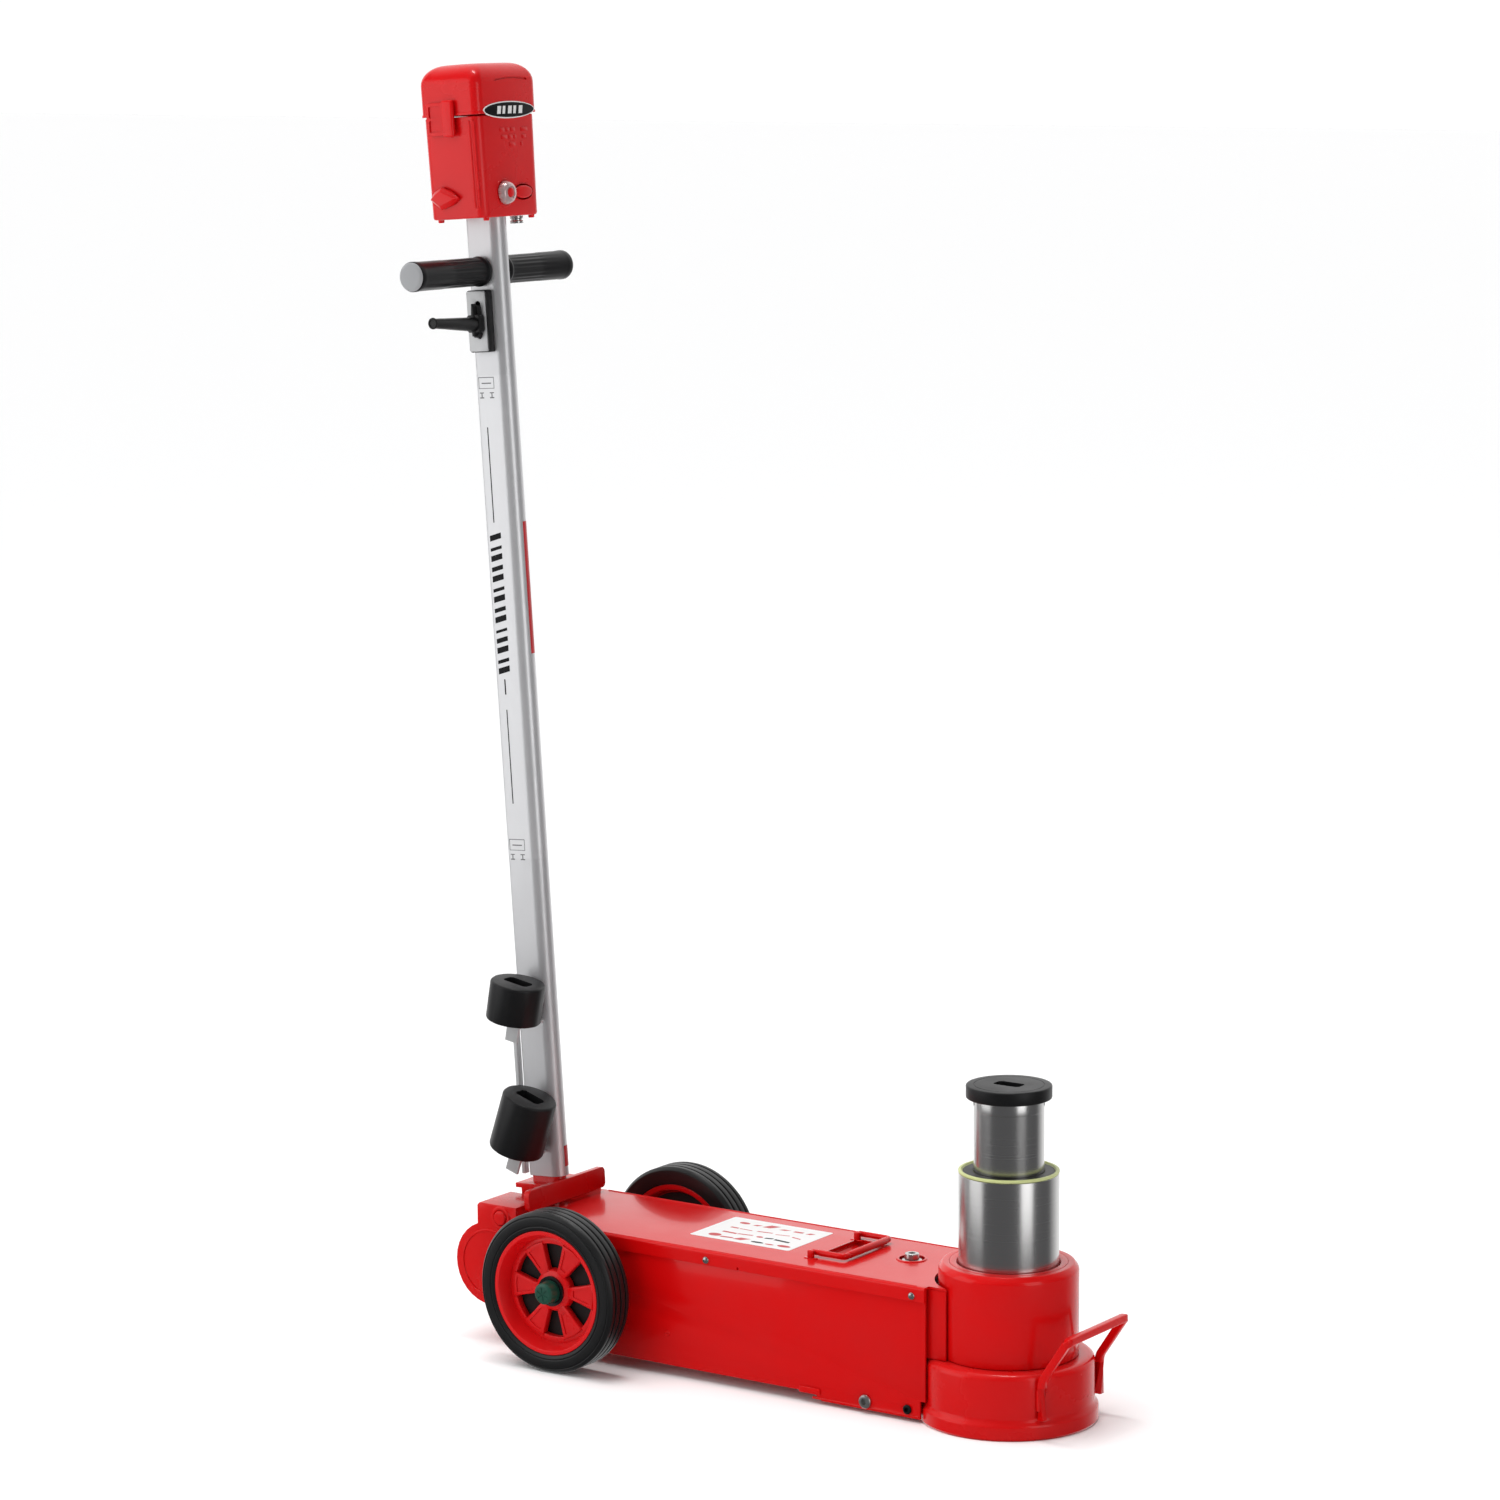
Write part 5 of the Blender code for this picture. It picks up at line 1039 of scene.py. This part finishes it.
def makeLid(s):
    top, dome = s["top"], s["dome"]
    levels = [(s["seam"], -0.0278, 0.0468, 0.0508, 0.0096),
              (s["seam"] + 0.0008, -0.0284, 0.0474, 0.0514, 0.0100),
              (top - dome, -0.0286, 0.0478, 0.0518, 0.0104)]
    for step in range(1, 10):
        angle = math.radians(90 * step / 9)
        pull = dome * (1 - math.cos(angle))
        levels.append((top - dome + dome * math.sin(angle), -0.0286 + pull * 0.85, 0.0478 - pull * 0.85,
                       0.0518 - pull, 0.0104 + pull * 0.2))
    lid = lofted(levels)
    hollow = lofted([(s["seam"] - 0.01, -0.0254, 0.0444, 0.0484, 0.007),
                     (top - 0.016, -0.0256, 0.0448, 0.0488, 0.007),
                     (top - 0.004, -0.0146, 0.0338, 0.0368, 0.006)])
    arc = []
    for rim in (0.0010, -0.0010):
        run = [(-0.0200 + 0.0540 * i / 16, 1.1780 + 0.0020 * math.sin(math.pi * i / 16) + rim)
               for i in range(17)]
        arc += run if rim > 0 else run[::-1]
    groove = onFront(arc, 0.0462, 0.054)
    settle(carved(lid, hollow, groove), "boxLid", "redMoulded", "box_lid", ["control_cap"], handleSpace,
           crease=30)
    rim = carved(lofted([(s["seam"] + 0.0001, -0.0290, 0.0480, 0.0520, 0.0102),
                         (s["seam"] + 0.0014, -0.0292, 0.0482, 0.0522, 0.0104),
                         (s["seam"] + 0.0030, -0.0287, 0.0477, 0.0517, 0.0102)]),
                 lofted([(s["seam"] - 0.01, -0.0262, 0.0452, 0.0492, 0.0080),
                         (s["seam"] + 0.02, -0.0262, 0.0452, 0.0492, 0.0080)]))
    settle(rim, "lidRim", "redMoulded", "box_lid", space=handleSpace)
    cy, cz = s["badge"]
    wide, tall = s["badgeHalf"]
    plaque = onFront(ellipse(cy, cz, wide, tall), 0.0468, 0.0486, 0.0003)
    settle(plaque, "badgeRim", "labelWhite", "box_lid", space=handleSpace)
    field = onFront(ellipse(cy, cz, wide - 0.0013, tall - 0.0012), 0.0480, 0.0489, 0.0002)
    settle(field, "badgeField", "inkBlack", "box_lid", space=handleSpace)
    bars = []
    for index, wide in enumerate((0.0060, 0.0042, 0.0060, 0.0042, 0.0060)):
        y = cy - 0.0205 + 0.0090 * index
        bars.append(onFront([(y - 0.0008, cz - 0.0040), (y + wide - 0.0008, cz - 0.0040),
                             (y + wide + 0.0008, cz + 0.0040), (y + 0.0008, cz + 0.0040)], 0.0486, 0.0491))
    settle(merged(bars[0], *bars[1:]), "badgeBars", "labelWhite", "box_lid", space=handleSpace)


def makeControls(s):
    latch = softened("cap_latch", 0.0004, 30)
    settle(latch, "latchBar", "redMoulded", "box_latch", ["cap_latch"])
    clasp = carved(moved(plate(roundRect(-0.0165, 1.1245, 0.0060, 1.1580, 0.0025), 0.0523, 0.0548, 0.0006),
                         facing["near"]),
                   moved(plate(roundRect(-0.0132, 1.1282, 0.0016, 1.1400, 0.0015), 0.0533, 0.0600),
                         facing["near"]),
                   moved(plate(roundRect(-0.0132, 1.1428, 0.0016, 1.1545, 0.0015), 0.0533, 0.0600),
                         facing["near"]))
    settle(clasp, "latchClasp", "redMoulded", "box_latch", space=handleSpace)
    y, z = s["knob"]
    knob = turned([(0.0, 0.0), (0.0122, 0.0, 0.0006), (0.0120, 0.0026, 0.0008), (0.0100, 0.0070, 0.0014),
                   (0.0064, 0.0080, 0.0006), (0.0056, 0.0066, 0.0004), (0.0, 0.0066)], 72, closed=False)
    flutes = [moved(rod(0.0013, -0.001, 0.0120, 16),
                    Matrix.Rotation(math.radians(30 * i), 4, "Z") @ at(0.0126, 0, 0)) for i in range(12)]
    # the knob's pale pink finish is partly a painted highlight and reflection
    spot = handleSpace @ at(0.0459, y, z) @ facing["front"]
    settle(carved(knob, *flutes), "speedKnob", "knobSilverPinkSheen", "speed_knob", ["control_knob"], spot)
    pip = turned([(0.0, 0.0064), (0.0050, 0.0064), (0.0046, 0.0082, 0.0008), (0.0, 0.0086)], 48, closed=False)
    settle(pip, "knobCentre", "redMoulded", "speed_knob", space=spot)
    seat = turned([(0.0128, -0.0010), (0.0152, -0.0010), (0.0146, 0.0004, 0.0003), (0.0130, 0.0004, 0.0003)],
                  64)
    settle(seat, "knobSeat", "redMoulded", "handle", space=handleSpace @ at(0.0452, y, z) @ facing["front"])
    by, bz, bw, bh = s["button"]
    button = onFront(ellipse(by, bz, bw - 0.0014, bh - 0.0012), 0.0400, 0.0480, 0.0024, 4)
    settle(button, "startButton", "redMoulded", "start_button", ["push_button"], handleSpace)
    collar = carved(onFront(ellipse(by, bz, bw + 0.0012, bh + 0.0012), 0.0446, 0.0464, 0.0006),
                    onFront(ellipse(by, bz, bw + 0.0004, bh + 0.0004), 0.03, 0.06))
    settle(collar, "buttonCollar", "redMoulded", "handle", space=handleSpace)
    # the flow lever: a long point at each end with a raised middle
    kite = [(-0.0205, 1.0600), (-0.0065, 1.0490), (0.0080, 1.0535), (0.0170, 1.0600), (0.0060, 1.0680),
            (-0.0050, 1.0722), (-0.0140, 1.0680)]
    lever = bmesh.new()
    base = lever.faces.new([lever.verts.new((x, z, 0.0491)) for x, z in kite])
    pulled = bmesh.ops.extrude_face_region(lever, geom=[base])
    top = [g for g in pulled["geom"] if isinstance(g, bmesh.types.BMVert)]
    bmesh.ops.translate(lever, vec=(0, 0, 0.0030), verts=top)
    roof = [g for g in pulled["geom"] if isinstance(g, bmesh.types.BMFace)]
    bmesh.ops.inset_region(lever, faces=roof, thickness=0.0042, depth=0.0)
    for vert in roof[0].verts:
        vert.co.z += 0.0040
    bmesh.ops.recalc_face_normals(lever, faces=lever.faces)
    softBevel(lever, [e for e in lever.edges if e.calc_face_angle() > math.radians(20)], 0.0006, 2)
    settle(moved(lever, facing["near"]), "flowLever", "redMoulded", "valve_lever", ["flow_lever"],
           handleSpace)
    inlet = turned([(0.0, -0.0080), (0.0044, -0.0080), (0.0044, -0.0078), (0.0070, -0.0080, 0.0005),
                    (0.0070, -0.0052, 0.0004), (0.0058, -0.0048), (0.0058, -0.0034),
                    (0.0070, -0.0030, 0.0004), (0.0070, -0.0003), (0.0, -0.0003)], 48, closed=False)
    settle(carved(inlet, rod(0.0040, -0.010, -0.0030, 32)), "airInlet", "brightZinc", "handle", ["air_inlet"],
           handleSpace @ at(*s["inlet"], s["bottom"]))


makeControlBox(boxSet)
makeLid(boxSet)
makeControls(boxSet)
print("control box made")


# saddle extensions on their bracket
spacerSet = {"radius": 0.0290, "y": -0.0455, "socket": (0.030, 0.016, 0.008), "bore": (0.0075, 0.016),
             "places": {"upper": (-0.5753, 0.3635, 0.042, 10.0), "lower": (-0.5680, 0.2335, 0.062, 18.5)}}


def makeSpacers(s):
    radius = s["radius"]
    for name, (x, z, height, tilt) in s["places"].items():
        half = height / 2
        body = turned([(0.0, -half), (radius, -half, 0.0022), (radius, half, 0.0026), (0.0, half)], 96,
                      closed=False)
        for vert in body.verts:  # twelve soft flats round the side
            spread = math.hypot(vert.co.x, vert.co.y)
            if spread > radius * 0.8:
                turn = math.atan2(vert.co.y, vert.co.x)
                flat = 1.0 - 0.010 * (1.0 - abs(math.cos(6 * turn)))
                vert.co.x *= flat
                vert.co.y *= flat
        length, width, depth = s["socket"]
        socket = plate(clipped(length / 2, width / 2, 0.0028), half - depth, half + 0.01)
        boreRadius, boreDepth = s["bore"]
        bore = rod(boreRadius, -half - 0.01, -half + boreDepth)
        spot = at(x, s["y"], z) @ Matrix.Rotation(math.radians(tilt), 4, "Y")
        settle(carved(body, socket, bore), "extension_" + name, "blackSteel", name + "_spacer",
               ["spacer_" + name], spot, crease=38)
    settle(softened("spacer_bracket", 0.0008, 45), "extensionBracket", "paleBracket", "handle",
           ["spacer_bracket"])


makeSpacers(spacerSet)

# the label on the cover: white, with plain red and black shapes
labelSet = {"x": (-0.366, -0.243), "y": (-0.031, 0.053), "top": 0.1400, "seed": 11, "rows": 4, "row": 0.0185,
            "blackShare": 0.16}


def makeLabel(s):
    x0, x1 = s["x"]
    y0, y1 = s["y"]
    top = s["top"]
    settle(plate(roundRect(x0, y0, x1, y1, 0.003), top + 0.00003, top + 0.00015), "coverLabel", "labelWhite",
           "base")
    red, black = [], []
    draw = random.Random(s["seed"])
    for row in range(s["rows"]):
        y = y0 + 0.0085 + s["row"] * row
        x = x0 + 0.010 + draw.uniform(0.0, 0.012)
        while x < x1 - 0.018:
            wide = draw.uniform(0.008, 0.020)
            tall = draw.uniform(0.0035, 0.0110)
            lean = draw.uniform(-0.003, 0.003)
            kind = draw.random()
            if kind < 0.40:
                shape = [(x, y), (x + wide, y + lean), (x + wide, y + lean + tall * 0.45),
                         (x, y + tall * 0.45)]
            elif kind < 0.75:
                shape = ellipse(x + wide / 2, y + tall / 2, wide / 2, tall / 2, 24)
            else:
                shape = [(x, y), (x + wide * 0.6, y), (x + wide, y + tall), (x + wide * 0.3, y + tall)]
            (black if draw.random() < s["blackShare"] else red).append(plate(shape, top + 0.00015,
                                                                             top + 0.00021))
            x += wide + draw.uniform(0.001, 0.006)
    settle(merged(red[0], *red[1:]), "labelRedMarks", "inkRed", "base")
    settle(merged(black[0], *black[1:]), "labelBlackMarks", "inkBlack", "base")


makeLabel(labelSet)
print("extensions and labels made")

# camera, floor and light
viewSet = {"place": (2.4093, -3.9403, 1.4013), "azimuth": 34.586, "down": 8.977, "roll": -0.368,
           "lens": 115.0}
cameraData = bpy.data.cameras.new("mainCamera")
cameraData.lens = viewSet["lens"]
cameraData.sensor_width = 36.0
cameraData.clip_end = 80.0
camera = bpy.data.objects.new("mainCamera", cameraData)
bpy.context.scene.collection.objects.link(camera)
camera.matrix_world = (Matrix.Translation(viewSet["place"])
                       @ Matrix.Rotation(math.radians(viewSet["azimuth"]), 4, "Z")
                       @ Matrix.Rotation(math.radians(90.0 - viewSet["down"]), 4, "X")
                       @ Matrix.Rotation(math.radians(viewSet["roll"]), 4, "Z"))
bpy.context.scene.camera = camera


floorSet = {"size": 40.0, "tones": (0.93, 0.95), "noise": 1.2, "rough": 0.9}


def makeFloor(s):
    material = bpy.data.materials.new("paleFloor")
    material.use_nodes = True
    tree = material.node_tree
    shader = tree.nodes["Principled BSDF"]
    shader.inputs["Roughness"].default_value = s["rough"]
    shader.inputs["Specular IOR Level"].default_value = 0.0
    noise = tree.nodes.new("ShaderNodeTexNoise")
    noise.inputs["Scale"].default_value = s["noise"]
    tone = tree.nodes.new("ShaderNodeMix")
    tone.data_type = "RGBA"
    for label, value in zip("AB", s["tones"]):
        tone.inputs[label].default_value = (value, value, value, 1.0)
    wire(tree, (noise.outputs["Fac"], tone.inputs["Factor"]),
         (tone.outputs["Result"], shader.inputs["Base Color"]))
    bm = bmesh.new()
    bmesh.ops.create_grid(bm, x_segments=1, y_segments=1, size=s["size"])
    mesh = bpy.data.meshes.new("studioFloor")
    bm.to_mesh(mesh)
    bm.free()
    mesh.materials.append(material)
    floor = bpy.data.objects.new("studioFloor", mesh)
    bpy.context.scene.collection.objects.link(floor)
    floor.visible_glossy = False


# suns: where the light comes from, strength, spread; soft lights: place, aim, size, power
lightSet = {"suns": {"evenLight": ((-0.25, -0.20, 1.0), 1.85, 50.0),
                     "frontLight": ((-0.20, -0.95, 0.45), 0.55, 40.0)},
            "softs": {"leftSoft": ((-1.75, -1.55, 0.95), (0.0, 0.0, 0.55), (1.7, 2.1), 13.0),
                      "rightSoft": ((2.35, -0.75, 0.95), (0.0, 0.0, 0.60), (1.25, 2.1), 14.0),
                      "overheadSoft": ((-0.30, 0.00, 5.00), (-0.30, 0.0, 0.0), (1.5, 0.45), 48.0)}}


def makeLight(name, place, aim, size, power):
    data = bpy.data.lights.new(name, "AREA")
    data.shape = "RECTANGLE"
    data.size, data.size_y = size
    data.energy = power
    light = bpy.data.objects.new(name, data)
    bpy.context.scene.collection.objects.link(light)
    light.location = place
    light.rotation_euler = (Vector(aim) - Vector(place)).to_track_quat("-Z", "Y").to_euler()
    light.visible_camera = False


worldSet = {"towards": (-0.555, 0.806, 0.20), "dark": (0.57, (0.110, 0.110, 0.113, 1.0)),
            "pale": (0.86, (1.0, 1.0, 1.0, 1.0)), "strength": 1.05}


def makeWorld(s):
    # pale behind the jack, dark on the viewer's side
    world = bpy.data.worlds.new("studioWorld")
    bpy.context.scene.world = world
    world.use_nodes = True
    tree = world.node_tree
    coords = tree.nodes.new("ShaderNodeTexCoord")
    spread = tree.nodes.new("ShaderNodeVectorMath")
    spread.operation = "DOT_PRODUCT"
    spread.inputs[1].default_value = s["towards"]
    ramp = tree.nodes.new("ShaderNodeValToRGB")
    for stop, side in zip(ramp.color_ramp.elements, ("dark", "pale")):
        stop.position, stop.color = s[side]
    scale = tree.nodes.new("ShaderNodeMapRange")
    scale.inputs["From Min"].default_value = -1.0
    wire(tree, (coords.outputs["Generated"], spread.inputs[0]),
         (spread.outputs["Value"], scale.inputs["Value"]), (scale.outputs["Result"], ramp.inputs["Fac"]),
         (ramp.outputs["Color"], tree.nodes["Background"].inputs["Color"]))
    tree.nodes["Background"].inputs["Strength"].default_value = s["strength"]


def makeSun(name, fromDirection, strength, spread):
    data = bpy.data.lights.new(name, "SUN")
    data.energy = strength
    data.angle = math.radians(spread)
    sun = bpy.data.objects.new(name, data)
    bpy.context.scene.collection.objects.link(sun)
    sun.rotation_euler = Vector(fromDirection).to_track_quat("Z", "Y").to_euler()
    sun.visible_glossy = False


makeFloor(floorSet)
makeWorld(worldSet)
for name, (fromDirection, strength, spread) in lightSet["suns"].items():
    makeSun(name, fromDirection, strength, spread)
for name, (place, aim, size, power) in lightSet["softs"].items():
    makeLight(name, place, aim, size, power)
bpy.context.scene.view_settings.view_transform = "Standard"
print("camera, floor and light set")
